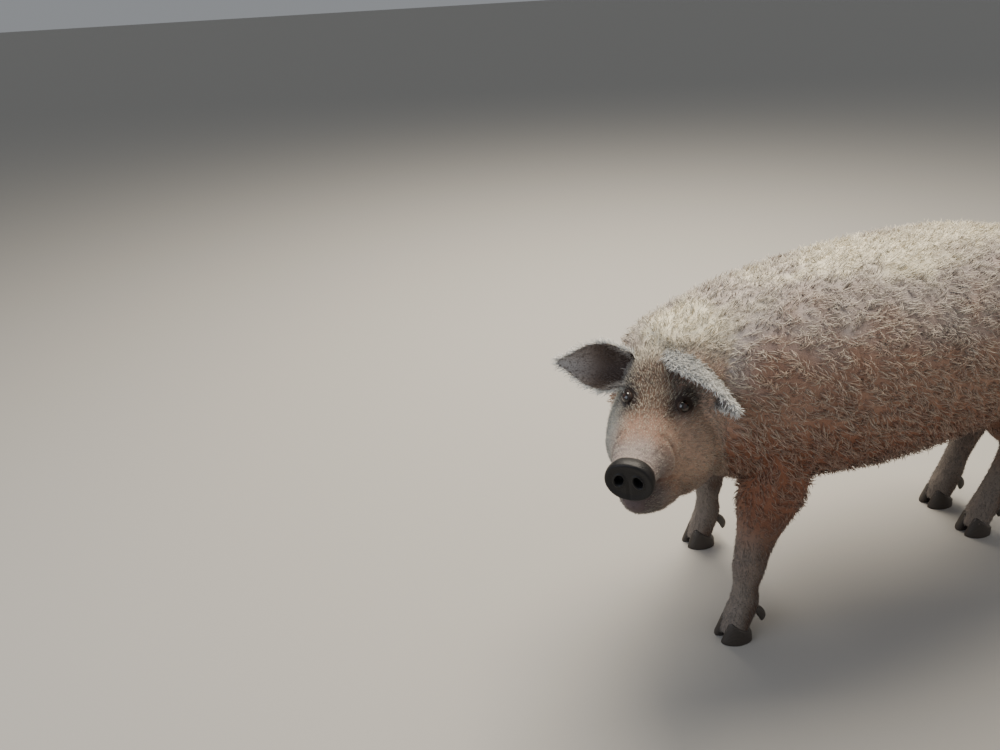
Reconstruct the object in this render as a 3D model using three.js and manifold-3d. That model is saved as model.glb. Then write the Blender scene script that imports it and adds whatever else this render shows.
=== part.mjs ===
// A blonde mangalica sow, life size, standing square with her head turned to her left.
// Millimetres, +Z up. She faces -X, her left side is -Y, and her claws stand on z = 0.
// The origin is under the middle of the whole animal.
import * as THREE from "three";
import { mergeVertices } from "three/addons/utils/BufferGeometryUtils.js";
import Module from "manifold-3d";

const wasm = await Module();
wasm.setup();

// Driving sizes
const HEAD_TURN = 47; // degrees to her left of the body
const HEAD_NOD = 4; // degrees down
const HEAD_ROLL = 5; // degrees, left side high
const EYE_RADIUS = 13;
const LID_RADIUS = 17;
const EAR_LENGTH = 145;
const EAR_WIDTH = 90;
const EAR_THICKNESS = 7;
const NODE_GAP = 0.3; // between pieces that touch
const SOCKET_ROOM = 0.48; // round a piece that lies in another

const TRUNK_SIDES = 20;
const TRUNK_RINGS = 20;
const HEAD_SIDES = 20;
const HEAD_RINGS = 18;
const JAW_RINGS = 8;
const SNOUT_RINGS = 3;
const LEG_SIDES = 12;
const TAIL_SIDES = 8;
const EVERYWHERE = 3000; // side of a block that holds the whole animal

// The fleece: rounded clumps half sunk in a core that reaches half way out into the coat
const CORE_DEPTH = 0.5; // of the coat's depth
// Half sizes, the height in coat depths, how far the free end leans up in degrees, and its facets.
const CLUMP = { long: 81, wide: 65, high: 1, lean: 8, sides: 8, bands: 4 };
const CLUMP_SPACING = { along: 0.85, across: 1 }; // of their length and width
const CLUMP_SPREAD = 0.14; // how much their sizes vary
const CLUMP_SWAY = 16; // degrees their lie varies
const CLUMP_STAGGER = [0.25, 0.75]; // of the room for a clump, ring by ring
const SEED = 7;

const HIDE = new THREE.MeshStandardMaterial({ color: 0xcdbba4, roughness: 0.9, metalness: 0 });
const FACE = new THREE.MeshStandardMaterial({ color: 0xc4a98f, roughness: 0.85, metalness: 0 });
const SHANK = new THREE.MeshStandardMaterial({ color: 0xb9a48d, roughness: 0.88, metalness: 0 });
const SNOUT_LEATHER = new THREE.MeshStandardMaterial({ color: 0x1d1b1d, roughness: 0.5, metalness: 0 });
const EYE_GLOSS = new THREE.MeshStandardMaterial({ color: 0x1c120c, roughness: 0.08, metalness: 0 });
const HORN = new THREE.MeshStandardMaterial({ color: 0x2b2724, roughness: 0.55, metalness: 0 });

const vec = (x, y, z) => new THREE.Vector3(x, y, z);
const UP = vec(0, 0, 1);
const FORWARD = vec(-1, 0, 0);
const radians = (degrees) => (degrees * Math.PI) / 180;

// The trunk and neck are one limb along a bent spine, from the tail to the poll.
// Each station: centre x, y, z, then the reach to the coat's tips at the top, upper side,
// side, lower side and bottom, then the coat's depth.
const SPINE = [
  [556, 0, 604, 24, 24, 24, 24, 24, 14], // under the tail
  [543, 0, 600, 82, 86, 88, 86, 82, 18], // end of the rump
  [505, 0, 590, 134, 142, 152, 148, 134, 22], // pin bones
  [440, 0, 582, 182, 190, 196, 188, 158, 26], // hams
  [340, 0, 576, 214, 218, 218, 208, 178, 28], // hips
  [200, 0, 576, 244, 240, 230, 228, 214, 28], // flank
  [50, 0, 576, 254, 250, 240, 244, 244, 28], // belly
  [-100, 0, 574, 252, 248, 240, 250, 250, 28], // ribs
  [-230, 0, 572, 243, 238, 232, 240, 248, 28], // behind the shoulders
  [-330, 3, 570, 232, 226, 216, 226, 232, 28], // withers and chest
  [-415, 12, 568, 214, 209, 198, 206, 208, 28], // point of the shoulders
  [-485, 22, 570, 188, 186, 176, 186, 190, 26], // neck
  [-535, 26, 574, 160, 160, 152, 168, 176, 22], // nape and throat
  [-572, 26, 578, 138, 136, 126, 144, 164, 18], // behind the ears
  [-598, 24, 582, 92, 92, 84, 98, 116, 14],
];
const [LOIN_CUT, SHOULDER_CUT, NECK_CUT, NECK_END] = [5, 7.7, 10.7, 14];

// Legs hang from inside the trunk. Each station: share of the way from the foot to the joint in
// the body, reach back, height, then the reach to the front, front side, side, back side and back.
const FORELEG = [
  [1, 0, 470, 72, 72, 62, 76, 80],
  [0.8, 0, 405, 76, 72, 62, 76, 84],
  [0.55, 0, 355, 66, 62, 56, 66, 76],
  [0.4, 0, 314, 54, 52, 47, 54, 62], // under the elbow
  [0.24, 0, 262, 42, 41, 38, 42, 46],
  [0.12, 1, 222, 37, 36, 34, 37, 40],
  [0.06, 2, 184, 36, 35, 33, 35, 38], // knee
  [0.03, 3, 140, 30, 29, 28, 29, 31], // cannon
  [0, 4, 95, 32, 32, 31, 34, 37], // fetlock
  [0, -5, 60, 32, 32, 32, 35, 36], // pastern
  [0, -14, 14, 33, 33, 33, 32, 30],
];
const HINDLEG = [
  [1, 12, 550, 128, 120, 72, 112, 112],
  [1, 0, 470, 136, 124, 76, 120, 116],
  [0.95, -10, 400, 118, 106, 68, 104, 106],
  [0.75, -8, 340, 82, 76, 54, 76, 84], // gaskin
  [0.5, 26, 288, 54, 52, 44, 52, 58],
  [0.35, 42, 242, 42, 40, 37, 44, 50], // hock
  [0.2, 33, 190, 34, 33, 31, 34, 36],
  [0.1, 20, 140, 32, 31, 30, 31, 33], // cannon
  [0.04, 10, 95, 33, 33, 32, 35, 38], // fetlock
  [0, -3, 60, 33, 33, 33, 36, 37], // pastern
  [0, -14, 14, 33, 33, 33, 32, 30],
];
const FORE_JOINT = { x: -352, y: 126 };
const HIND_JOINT = { x: 400, y: 78 };
const FEET = {
  fore_left: { x: -409, y: -142, side: -1, rows: FORELEG, joint: FORE_JOINT, middle: 6 },
  fore_right: { x: -308, y: 155, side: 1, rows: FORELEG, joint: FORE_JOINT, middle: 6 },
  hind_left: { x: 366, y: -76, side: -1, rows: HINDLEG, joint: HIND_JOINT, middle: 5 },
  hind_right: { x: 372, y: 48, side: 1, rows: HINDLEG, joint: HIND_JOINT, middle: 5 },
};
const LEG_TOP = 3; // station where the leg leaves the body
const THIGH_COAT = { depth: 24, from: 335, full: 400 }; // the fleece on the upper legs thins out downward
const THIGH_CLUMPS = { from: 0.35, to: LEG_TOP - 1.2, spread: 1.7 }; // stations, and radians from the outside
const TRUNK_CLUMPS = { from: 1.3, to: NECK_END - 0.4, spread: Math.PI };
const THIGH_TOP = { beside: 0, under: 480 }; // where the thighs are divided from the rump
const SHOULDER_TOP = { beside: 62, under: 470 };
const LIE_FALL = 0.7; // how steeply the fleece falls down the sides

// The tail: centre, then its reaches. It hangs from the end of the rump and ends in a brush.
const TAIL = [
  [518, 0, 694, 20, 20, 20, 20, 20],
  [552, 0, 684, 19, 19, 19, 19, 19],
  [580, 3, 656, 16, 16, 16, 16, 16],
  [594, 8, 612, 14, 14, 14, 14, 14],
  [598, 12, 562, 13, 13, 13, 13, 13],
  [596, 13, 512, 15, 16, 17, 16, 15], // where the brush begins
  [592, 12, 460, 20, 22, 24, 22, 20],
  [590, 10, 405, 20, 23, 26, 23, 20],
  [590, 8, 350, 14, 16, 19, 16, 14],
  [592, 7, 312, 5, 6, 7, 6, 5],
];
const BRUSH_AT = 5;
const BRUSH_CORE = 0.6; // of the brush's reach
// Locks of the brush, in its reaches: how wide and thick at the root and at the tip, how deep they
// lie, how far they curl in radians, and how much shorter every other lock ends, in stations.
const LOCK = {
  count: 5, steps: 4, wide: [0.95, 0.19], thick: [0.3, 0.12], sunk: 0.25, curl: 0.5, shorter: 0.5,
};

// Claws in plan: forward of the foot's centre, then out from the cleft.
const CLAW_SOLE = [[-22, 2], [12, 2], [36, 3.5], [50, 11], [43, 25], [20, 36], [-10, 35], [-24, 20]];
const CLAW_TOP = { height: 60, forward: 0.62, across: 0.86 };
const CORONET = { front: 47, frontHeight: 48, back: -19, backHeight: 20 };
// Dew claws, from the leg down: back from the foot's centre, height, radius.
const DEW_CLAW = [[22, 82, 8], [34, 72, 10], [44, 56, 9], [47, 42, 5], [47, 37, 2]];
const DEW_CLAW_APART = 17; // each side of the leg's middle

// The head in its own axes: x to the snout, y to her left, z up, from the middle of the eyes.
// Each station: x, 0, z, then the same reaches and coat depth as the spine.
const HEAD_AT = vec(-606, -49, 600);
const HEAD = [
  [-125, 14, -14, 66, 76, 84, 112, 140, 16], // inside the neck
  [-84, 13, -18, 108, 106, 98, 140, 184, 16], // poll and jowls
  [-46, 11, -22, 98, 100, 102, 154, 206, 13],
  [-10, 9, -27, 70, 80, 96, 156, 210, 9], // forehead and cheeks
  [20, 6, -32, 54, 62, 86, 148, 198, 6], // eyes
  [52, 3, -36, 42, 50, 72, 128, 168, 5],
  [90, 1, -40, 34, 43, 58, 86, 100, 4], // corner of the mouth
  [130, 0, -43, 31, 38, 48, 54, 46, 3],
  [160, 0, -45, 34, 38, 43, 44, 40, 2], // upper lip
  [176, 0, -45, 37, 40, 42, 41, 38, 1], // end of the muzzle
];
const JAW = [
  [36, 2, -136, 16, 34, 62, 70, 66],
  [75, 1, -130, 16, 30, 57, 63, 62],
  [105, 0, -122, 16, 27, 50, 54, 54],
  [132, 0, -111, 16, 23, 40, 44, 46], // lower lip
  [156, 0, -102, 16, 19, 31, 35, 38],
  [173, 0, -96, 9, 11, 18, 21, 24], // chin
];
const SNOUT = [
  [176, 0, -45, 37, 40, 42, 41, 38],
  [182, 0, -45, 40, 43, 45, 44, 41],
  [193, 0, -45, 40, 43, 45, 44, 41], // rim
  [198, 0, -45, 34, 37, 39, 38, 35],
];
const NOSTRIL = { x: 198, y: 17, z: -43, depth: 17, height: 11, width: 7 };
const NECK_FACE = -36; // where the neck ends against the cheeks
const EYE = { station: 3.6, angle: 55, sunk: 7 };
const EYE_SLIT = { long: 13, high: 6.5, deep: 12, slant: 12 };
const EYE_LOOK = { ahead: 0.45, out: 0.8, up: 0.35 };
// Each ear: its root, its length's direction, its width's from the back edge to the front one, how
// far the tip droops, as a share of the length, and how far the edges curl in, as one of the half
// width. The left ear is turned forward and curled over like a visor.
const EARS = {
  left: { root: [-70, 69, 62], out: [0.85, 0.73, -0.29], wide: [0.2, -0.43, 1], droop: 0.05, cup: 0.8 },
  right: { root: [-58, -74, 32], out: [-0.1, -0.97, -0.06], wide: [0.45, 0, -0.85], droop: 0, cup: 0.5 },
};
const EAR_OUTLINE = [0.66, 0.84, 1, 0.98, 0.86, 0.62, 0.32, 0.06]; // half width, root to tip
const EAR_ROOT = -0.2; // start of the ear inside the head, as a share of its length

// Catmull-Rom between the rows of a table, at row number t.
function rowAt(rows, t) {
  const last = rows.length - 1;
  const i = Math.max(0, Math.min(Math.floor(t), last - 1));
  const f = t - i;
  const b = rows[i];
  const c = rows[i + 1];
  const a = rows[i - 1] ?? b.map((value, k) => 2 * value - c[k]);
  const d = rows[i + 2] ?? c.map((value, k) => 2 * value - b[k]);
  return b.map((value, k) => {
    const slopeIn = (c[k] - a[k]) / 2;
    const slopeOut = (d[k] - value) / 2;
    const f2 = f * f;
    const f3 = f2 * f;
    const ease = 3 * f2 - 2 * f3;
    return value * (1 - ease) + c[k] * ease + slopeIn * (f3 - 2 * f2 + f) + slopeOut * (f3 - f2);
  });
}

// Reach at an angle from the top, mirrored left and right, through five reaches 45 degrees apart.
function reachAt(five, angle) {
  const mirrored = [five[1], ...five, five[3]].map((value) => [value]);
  const turned = Math.abs(Math.atan2(Math.sin(angle), Math.cos(angle))) / (Math.PI / 4);
  return rowAt(mirrored, turned + 1)[0];
}

// The limb's centre, its forward, up and left directions and its row, at row number t.
function frameAt(rows, t, upHint) {
  const row = rowAt(rows, t);
  const step = 0.02;
  const ahead = rowAt(rows, t + step);
  const behind = rowAt(rows, t - step);
  const forward = vec(ahead[0] - behind[0], ahead[1] - behind[1], ahead[2] - behind[2]).normalize();
  const left = upHint.clone().cross(forward).normalize();
  const up = forward.clone().cross(left);
  return { centre: vec(row[0], row[1], row[2]), forward, left, up, row };
}

function pointAt(frame, angle, reach, along = 0) {
  return frame.centre
    .clone()
    .addScaledVector(frame.up, Math.cos(angle) * reach)
    .addScaledVector(frame.left, Math.sin(angle) * reach)
    .addScaledVector(frame.forward, along);
}

// Rings round a limb from row t0 to t1. extra moves the sides out, and past moves each end out.
function limbRings(rows, t0, t1, { count, sides, upHint = UP, extra = 0, past = 0, reach = plainReach }) {
  const rings = [];
  for (let i = 0; i <= count; i += 1) {
    const frame = frameAt(rows, t0 + ((t1 - t0) * i) / count, upHint);
    const along = i === 0 ? -past : i === count ? past : 0;
    const ring = [];
    for (let j = 0; j < sides; j += 1) {
      const angle = (2 * Math.PI * j) / sides;
      ring.push(pointAt(frame, angle, reach(frame.row, angle) + extra, along));
    }
    rings.push(ring);
  }
  return rings;
}

const plainReach = (row, angle) => reachAt(row.slice(3, 8), angle);

// A closed body through rings of points, with flat ends. Round rings are closed by a fan, and
// leaf-shaped ones by a strip between their two faces.
function loft(rings, leaf = false) {
  const sides = rings[0].length;
  const points = rings.flat();
  const faces = [];
  const at = (i, j) => i * sides + (j % sides);
  for (let i = 0; i + 1 < rings.length; i += 1) {
    for (let j = 0; j < sides; j += 1) {
      faces.push(at(i, j), at(i + 1, j), at(i + 1, j + 1));
      faces.push(at(i, j), at(i + 1, j + 1), at(i, j + 1));
    }
  }
  for (const [i, turned] of [[0, false], [rings.length - 1, true]]) {
    const add = (a, b, c) => faces.push(...(turned ? [a, c, b] : [a, b, c]));
    if (leaf) {
      for (let j = 0; j + 1 < sides / 2; j += 1) {
        add(at(i, j), at(i, j + 1), at(i, sides - 2 - j));
        add(at(i, j), at(i, sides - 2 - j), at(i, sides - 1 - j));
      }
    } else {
      const middle = points.length;
      points.push(rings[i].reduce((sum, p) => sum.add(p), vec(0, 0, 0)).divideScalar(sides));
      for (let j = 0; j < sides; j += 1) add(middle, at(i, j), at(i, j + 1));
    }
  }
  const geometry = new THREE.BufferGeometry().setFromPoints(points);
  geometry.setIndex(faces);
  return geometry;
}

function solidOf(geometry) {
  const bare = geometry.clone();
  bare.deleteAttribute("normal");
  bare.deleteAttribute("uv");
  const merged = mergeVertices(bare, 1e-3);
  return new wasm.Manifold(
    new wasm.Mesh({
      numProp: 3,
      vertProperties: new Float32Array(merged.attributes.position.array),
      triVerts: new Uint32Array(merged.index.array),
    }),
  );
}

function geometryOf(solid) {
  const mesh = solid.getMesh();
  const geometry = new THREE.BufferGeometry();
  geometry.setAttribute("position", new THREE.BufferAttribute(mesh.vertProperties, 3));
  geometry.setIndex(new THREE.BufferAttribute(mesh.triVerts, 1));
  return geometry;
}

// The largest closed surface of a solid, with hollows that fusing sealed filled again.
function largest(solid) {
  const bodies = solid.decompose().filter((body) => body.volume() > 0);
  return bodies.reduce((best, body) => (body.volume() > best.volume() ? body : best));
}

const union = (solids) => solids.reduce((sum, next) => sum.add(next));
const cut = (solid, tools) => tools.reduce((left, tool) => left.subtract(tool), solid);

// Even numbers between -1 and 1 from a seed, the same at each run.
function seeded(seed) {
  let state = seed;
  return () => {
    state = (state + 0x6d2b79f5) | 0;
    let mixed = Math.imul(state ^ (state >>> 15), 1 | state);
    mixed = (mixed + Math.imul(mixed ^ (mixed >>> 7), 61 | mixed)) ^ mixed;
    return ((mixed ^ (mixed >>> 14)) >>> 0) / 2 ** 31 - 1;
  };
}

// Everything on the far side of a plane, the way its normal points.
function halfSpace(point, normal) {
  const block = new THREE.BoxGeometry(EVERYWHERE, EVERYWHERE, EVERYWHERE);
  block.translate(0, 0, EVERYWHERE / 2);
  block.applyQuaternion(new THREE.Quaternion().setFromUnitVectors(UP, normal.clone().normalize()));
  block.translate(point.x, point.y, point.z);
  return solidOf(block);
}

const animal = new THREE.Group();
function addNode(name, solid, material) {
  const mesh = new THREE.Mesh(geometryOf(largest(solid)), material);
  mesh.name = name;
  animal.add(mesh);
}

// A foot's leg table in the body's axes.
function legRows({ x, y, side, rows, joint }) {
  const toJoint = { x: joint.x - x, y: side * joint.y - y };
  return rows.map(([share, back, z, ...reach]) => [
    x + back + share * toJoint.x,
    y + share * toJoint.y,
    z,
    ...reach,
  ]);
}

function legPart(foot, t0, t1, growth = {}) {
  const shape = { count: Math.round(2 * (t1 - t0)), sides: LEG_SIDES, upHint: FORWARD, ...growth };
  return solidOf(loft(limbRings(legRows(foot), t0, t1, shape)));
}

const headMatrix = new THREE.Matrix4().makeTranslation(HEAD_AT).multiply(
  new THREE.Matrix4().makeRotationFromEuler(
    new THREE.Euler(radians(HEAD_ROLL), radians(HEAD_NOD), radians(180 + HEAD_TURN), "ZYX"),
  ),
);
const headSolid = (geometry) => solidOf(geometry.applyMatrix4(headMatrix));
const headLoft = (rows, count, growth = {}) =>
  headSolid(loft(limbRings(rows, 0, rows.length - 1, { count, sides: HEAD_SIDES, ...growth })));

const SHRUNK = { past: -NODE_GAP / 2 };
const INSET = { past: -NODE_GAP };
const SOCKET = { extra: SOCKET_ROOM };

// A ball or egg in the head's axes.
function headEgg(centre, radii, slant = 0, turn = 0) {
  const egg = new THREE.SphereGeometry(1, 12, 9);
  egg.scale(...radii);
  egg.rotateY(slant);
  egg.rotateZ(turn);
  egg.translate(centre.x, centre.y, centre.z);
  return headSolid(egg);
}

function eyeCentre(side) {
  const frame = frameAt(HEAD, EYE.station, UP);
  const angle = side * radians(EYE.angle);
  return pointAt(frame, angle, plainReach(frame.row, angle) - EYE.sunk);
}

// A lid ball over each eye, opened by an almond slit over the eyeball's socket.
function withEyes(head) {
  let solid = head;
  for (const side of [-1, 1]) {
    const centre = eyeCentre(side);
    const ball = (radius) => headEgg(centre, [radius, radius, radius]);
    const slit = headEgg(
      centre.clone().addScaledVector(vec(EYE_LOOK.ahead, side * EYE_LOOK.out, EYE_LOOK.up), EYE_RADIUS),
      [EYE_SLIT.long, EYE_SLIT.deep, EYE_SLIT.high],
      radians(EYE_SLIT.slant),
      -side * Math.atan2(EYE_LOOK.ahead, EYE_LOOK.out),
    );
    solid = solid.add(ball(LID_RADIUS)).subtract(slit).subtract(ball(EYE_RADIUS + NODE_GAP));
  }
  return solid;
}

// A cupped leaf of even thickness.
function earSolid({ root, out, wide, droop, cup }, grow = 0) {
  const along = vec(...out).normalize();
  const inside = along.clone().cross(vec(...wide)).normalize();
  const across = inside.clone().cross(along);
  const last = EAR_OUTLINE.length - 1;
  const columns = [-1, -0.6, -0.2, 0.2, 0.6, 1];
  const rings = EAR_OUTLINE.map((share, i) => {
    const u = EAR_ROOT + ((1 - EAR_ROOT) * i) / last;
    const halfWidth = (share * EAR_WIDTH) / 2;
    const halfThickness = (EAR_THICKNESS / 2) * (1 - 0.35 * (i / last));
    const depth = cup * halfWidth * (1.5 - u);
    const place = (v, thickness, wider) =>
      vec(...root)
        .addScaledVector(along, u * EAR_LENGTH + (i === last ? grow : i === 0 ? -grow : 0))
        .addScaledVector(UP, -droop * u * u * EAR_LENGTH)
        .addScaledVector(across, v * (halfWidth + wider))
        .addScaledVector(inside, depth * v * v + thickness);
    return [
      ...columns.map((v) => place(v, halfThickness + 3 * grow, 0.3 * grow)),
      ...columns.toReversed().map((v) => place(v, -halfThickness - grow, grow)),
    ];
  });
  return headSolid(loft(rings, true));
}

// Two blind holes in the snout's face.
function nostril(side) {
  const hole = new THREE.CylinderGeometry(1, 0.7, 2 * NOSTRIL.depth, 12);
  hole.rotateZ(-Math.PI / 2);
  hole.scale(1, NOSTRIL.width, NOSTRIL.height);
  hole.translate(NOSTRIL.x, side * NOSTRIL.y, NOSTRIL.z);
  return headSolid(hole);
}

// Feet
const coronetPoint = ({ x, y }) => vec(x - CORONET.front, y, CORONET.frontHeight);
const coronetNormal = vec(
  CORONET.frontHeight - CORONET.backHeight,
  0,
  CORONET.front - CORONET.back,
).normalize();
// Everything over the coronet, or with way -1 under it, from a distance along its slope's normal.
const coronet = (foot, along, way = 1) =>
  halfSpace(
    coronetPoint(foot).addScaledVector(coronetNormal, along),
    coronetNormal.clone().multiplyScalar(way),
  );

function clawRing({ x, y }, side, height, forward, across) {
  const ring = CLAW_SOLE.map(([f, a]) => vec(x - f * forward, y + side * a * across, height));
  return side > 0 ? ring : ring.toReversed();
}

function claw(foot, side) {
  const solid = solidOf(loft([
    clawRing(foot, side, 0, 1, 1),
    clawRing(foot, side, CLAW_TOP.height, CLAW_TOP.forward, CLAW_TOP.across),
  ]));
  return cut(solid, [coronet(foot, -NODE_GAP / 2)]);
}

function dewClaw({ x, y }, side) {
  const rows = DEW_CLAW.map(([back, z, r]) => [x + back, y + side * DEW_CLAW_APART, z, r, r, r, r, r]);
  return solidOf(loft(limbRings(rows, 0, rows.length - 1, { count: 4, sides: 5, upHint: FORWARD })));
}

function addFoot(name, foot) {
  const last = foot.rows.length - 1;
  const upper = legPart(foot, LEG_TOP, foot.middle, SHRUNK);
  const lower = cut(legPart(foot, foot.middle, last, SHRUNK), [coronet(foot, NODE_GAP / 2, -1)]);
  addNode(`${name}_upper_leg`, upper, SHANK);
  addNode(`${name}_lower_leg`, lower, SHANK);
  const legSocket = legPart(foot, foot.middle, last, SOCKET);
  for (const [place, side] of [["left", -1], ["right", 1]]) {
    addNode(`${name}_claw_${place}`, claw(foot, side), HORN);
    addNode(`${name}_dew_claw_${place}`, cut(dewClaw(foot, side), [legSocket]), HORN);
  }
}

// The brush of the tail: flat tapered locks laid round a thin core.
function tailBrush() {
  const last = TAIL.length - 1;
  const thin = (row, angle) => BRUSH_CORE * plainReach(row, angle);
  const core = tailPart(BRUSH_AT, last, { ...SHRUNK, reach: thin });
  const locks = [];
  for (let k = 0; k < LOCK.count; k += 1) {
    locks.push(brushLock((2 * Math.PI * k) / LOCK.count, last - LOCK.shorter * (k % 3)));
  }
  return cut(union([core, ...locks]), [tailPart(0, BRUSH_AT, { past: 0 })]);
}

// One lock: diamonds along a line that winds down the brush and narrows to its end.
function brushLock(turn, end) {
  const { lerp } = THREE.MathUtils;
  const rings = [];
  for (let i = 0; i <= LOCK.steps; i += 1) {
    const share = i / LOCK.steps;
    const frame = frameAt(TAIL, BRUSH_AT + (end - BRUSH_AT) * share, FORWARD);
    const reach = plainReach(frame.row, turn);
    const angle = turn + LOCK.curl * share;
    const wide = (lerp(...LOCK.wide, share) * reach) / 2;
    const thick = (lerp(...LOCK.thick, share) * reach) / 2;
    const round = vec(0, 0, 0)
      .addScaledVector(frame.left, Math.cos(angle))
      .addScaledVector(frame.up, -Math.sin(angle));
    const root = i === 0;
    const middle = (1 - LOCK.sunk * (root ? 2 : 1)) * reach;
    const at = (across, out) =>
      pointAt(frame, angle, middle + out, root ? NODE_GAP : 0).addScaledVector(round, across);
    rings.push([at(0, thick), at(wide, 0), at(0, -thick), at(-wide, 0)]);
  }
  return solidOf(loft(rings));
}

// The fleece
const vary = seeded(SEED);
const coreReach = (row, angle) => plainReach(row, angle) - CORE_DEPTH * row[8];
const thighCoat = ([, , height]) => {
  const share = (height - THIGH_COAT.from) / (THIGH_COAT.full - THIGH_COAT.from);
  return THIGH_COAT.depth * THREE.MathUtils.clamp(share, 0, 1);
};
const thighReach = (row, angle) => plainReach(row, angle) - CORE_DEPTH * thighCoat(row);

// One clump: an egg that leans up at its free end, with its crown at the tips of the coat.
function clump(crown, outward, lie, coat) {
  const size = 1 + CLUMP_SPREAD * vary();
  const high = CLUMP.high * coat * (1 + (CLUMP_SPREAD / 2) * vary());
  const egg = new THREE.SphereGeometry(1, CLUMP.sides, CLUMP.bands);
  egg.scale(CLUMP.long * size, high, CLUMP.wide * size);
  egg.rotateZ(radians(CLUMP.lean));
  egg.rotateY(radians(CLUMP_SWAY * vary()));
  const along = lie.clone().addScaledVector(outward, -lie.dot(outward)).normalize();
  egg.applyMatrix4(new THREE.Matrix4().makeBasis(along, outward, along.clone().cross(outward)));
  const centre = crown.clone().addScaledVector(outward, -high);
  egg.translate(centre.x, centre.y, centre.z);
  return solidOf(egg);
}

// Clumps in staggered rings round a limb, as many as fit between two angles.
function clumpRings(rows, { from, to, upHint, facing, spread, lieAt, coatOf }) {
  const clumps = [];
  let t = from;
  for (let ring = 0; t < to; ring += 1) {
    const frame = frameAt(rows, t, upHint);
    const mean = plainReach(frame.row, facing + spread / 2);
    const coat = coatOf(frame.row);
    const count = Math.max(1, Math.round((spread * mean) / (CLUMP.wide * CLUMP_SPACING.across)));
    for (let k = 0; k < count; k += 1) {
      const angle = facing - spread + (2 * spread * (k + CLUMP_STAGGER[ring % 2])) / count;
      const crown = pointAt(frame, angle, plainReach(frame.row, angle));
      clumps.push(clump(crown, outwardAt(rows, t, angle, upHint), lieAt(frame, angle), coat));
    }
    t = further(rows, t, 2 * CLUMP.long * CLUMP_SPACING.along);
  }
  return clumps;
}

// The row number a distance further along the outside of a limb.
function further(rows, t, distance) {
  const step = 0.02;
  let [at, gone] = [t, 0];
  while (gone < distance && at < rows.length) {
    const [here, next] = [rowAt(rows, at), rowAt(rows, at + step)];
    const [rise, run] = [next[5] - here[5], Math.hypot(next[0] - here[0], next[2] - here[2])];
    gone += Math.hypot(run, rise);
    at += step;
  }
  return at;
}

// The way a limb's outside faces at an angle.
function outwardAt(rows, t, angle, upHint) {
  const place = (along, turn) => {
    const frame = frameAt(rows, t + along, upHint);
    return pointAt(frame, angle + turn, plainReach(frame.row, angle + turn));
  };
  const ahead = place(0.2, 0).sub(place(-0.2, 0));
  const round = place(0, 0.1).sub(place(0, -0.1));
  return ahead.cross(round).normalize();
}

// Hair lies back along the body and falls down its sides.
const trunkLie = ({ forward }, angle) =>
  forward.clone().negate().add(vec(0, 0, -LIE_FALL * Math.abs(Math.sin(angle))));
const legLie = () => vec(0.5, 0, -1);

const trunkClumps = clumpRings(SPINE, {
  ...TRUNK_CLUMPS,
  upHint: UP,
  facing: 0,
  lieAt: trunkLie,
  coatOf: (row) => row[8],
});
const legClumps = Object.values(FEET).flatMap((foot) =>
  clumpRings(legRows(foot), {
    ...THIGH_CLUMPS,
    upHint: FORWARD,
    facing: (-foot.side * Math.PI) / 2,
    lieAt: legLie,
    coatOf: thighCoat,
  }),
);

const jaw = headLoft(JAW, JAW_RINGS, INSET);
const jawSocket = headLoft(JAW, JAW_RINGS, SOCKET);
const headSocket = headLoft(HEAD, HEAD_RINGS, SOCKET);
const earSockets = Object.values(EARS).map((ear) => earSolid(ear, NODE_GAP));
const tailPart = (t0, t1, growth) => {
  const shape = { count: 2 * (t1 - t0), sides: TAIL_SIDES, upHint: FORWARD, ...growth };
  return solidOf(loft(limbRings(TAIL, t0, t1, shape)));
};
const tailSocket = tailPart(0, TAIL.length - 1, SOCKET);

// The fused body, from the rump to the neck and down to where the legs leave it
const trunkShape = { count: TRUNK_RINGS, sides: TRUNK_SIDES, reach: coreReach };
const trunkCore = solidOf(loft(limbRings(SPINE, 0, NECK_END, trunkShape)));
const feet = Object.values(FEET);
const thighs = feet.map((foot) => legPart(foot, 0, LEG_TOP, { ...SHRUNK, reach: thighReach }));
const legSockets = feet.map((foot) => legPart(foot, LEG_TOP, foot.middle, SOCKET));
const body = cut(union([trunkCore, ...thighs, ...trunkClumps, ...legClumps]), legSockets);

const spinePlane = (t, along, way) => {
  const { centre, forward } = frameAt(SPINE, t, UP);
  return halfSpace(centre.addScaledVector(forward, along), forward.clone().multiplyScalar(way));
};
const between = (t0, t1) => [spinePlane(t0, NODE_GAP / 2, -1), spinePlane(t1, -NODE_GAP / 2, 1)];

// The quarter of space below a height and outside a plane beside the middle.
function outerQuarter(side, beside, under, grow) {
  const block = new THREE.BoxGeometry(EVERYWHERE, EVERYWHERE, EVERYWHERE);
  block.translate(0, side * (EVERYWHERE / 2 + beside - grow), under + grow - EVERYWHERE / 2);
  return solidOf(block);
}

function addWithLimbs(name, limb, solid, { beside, under }) {
  const half = NODE_GAP / 2;
  const sides = [["left", -1], ["right", 1]];
  addNode(name, cut(solid, sides.map(([, side]) => outerQuarter(side, beside, under, half))), HIDE);
  for (const [place, side] of sides) {
    addNode(`${limb}_${place}`, solid.intersect(outerQuarter(side, beside, under, -half)), HIDE);
  }
}

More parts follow.
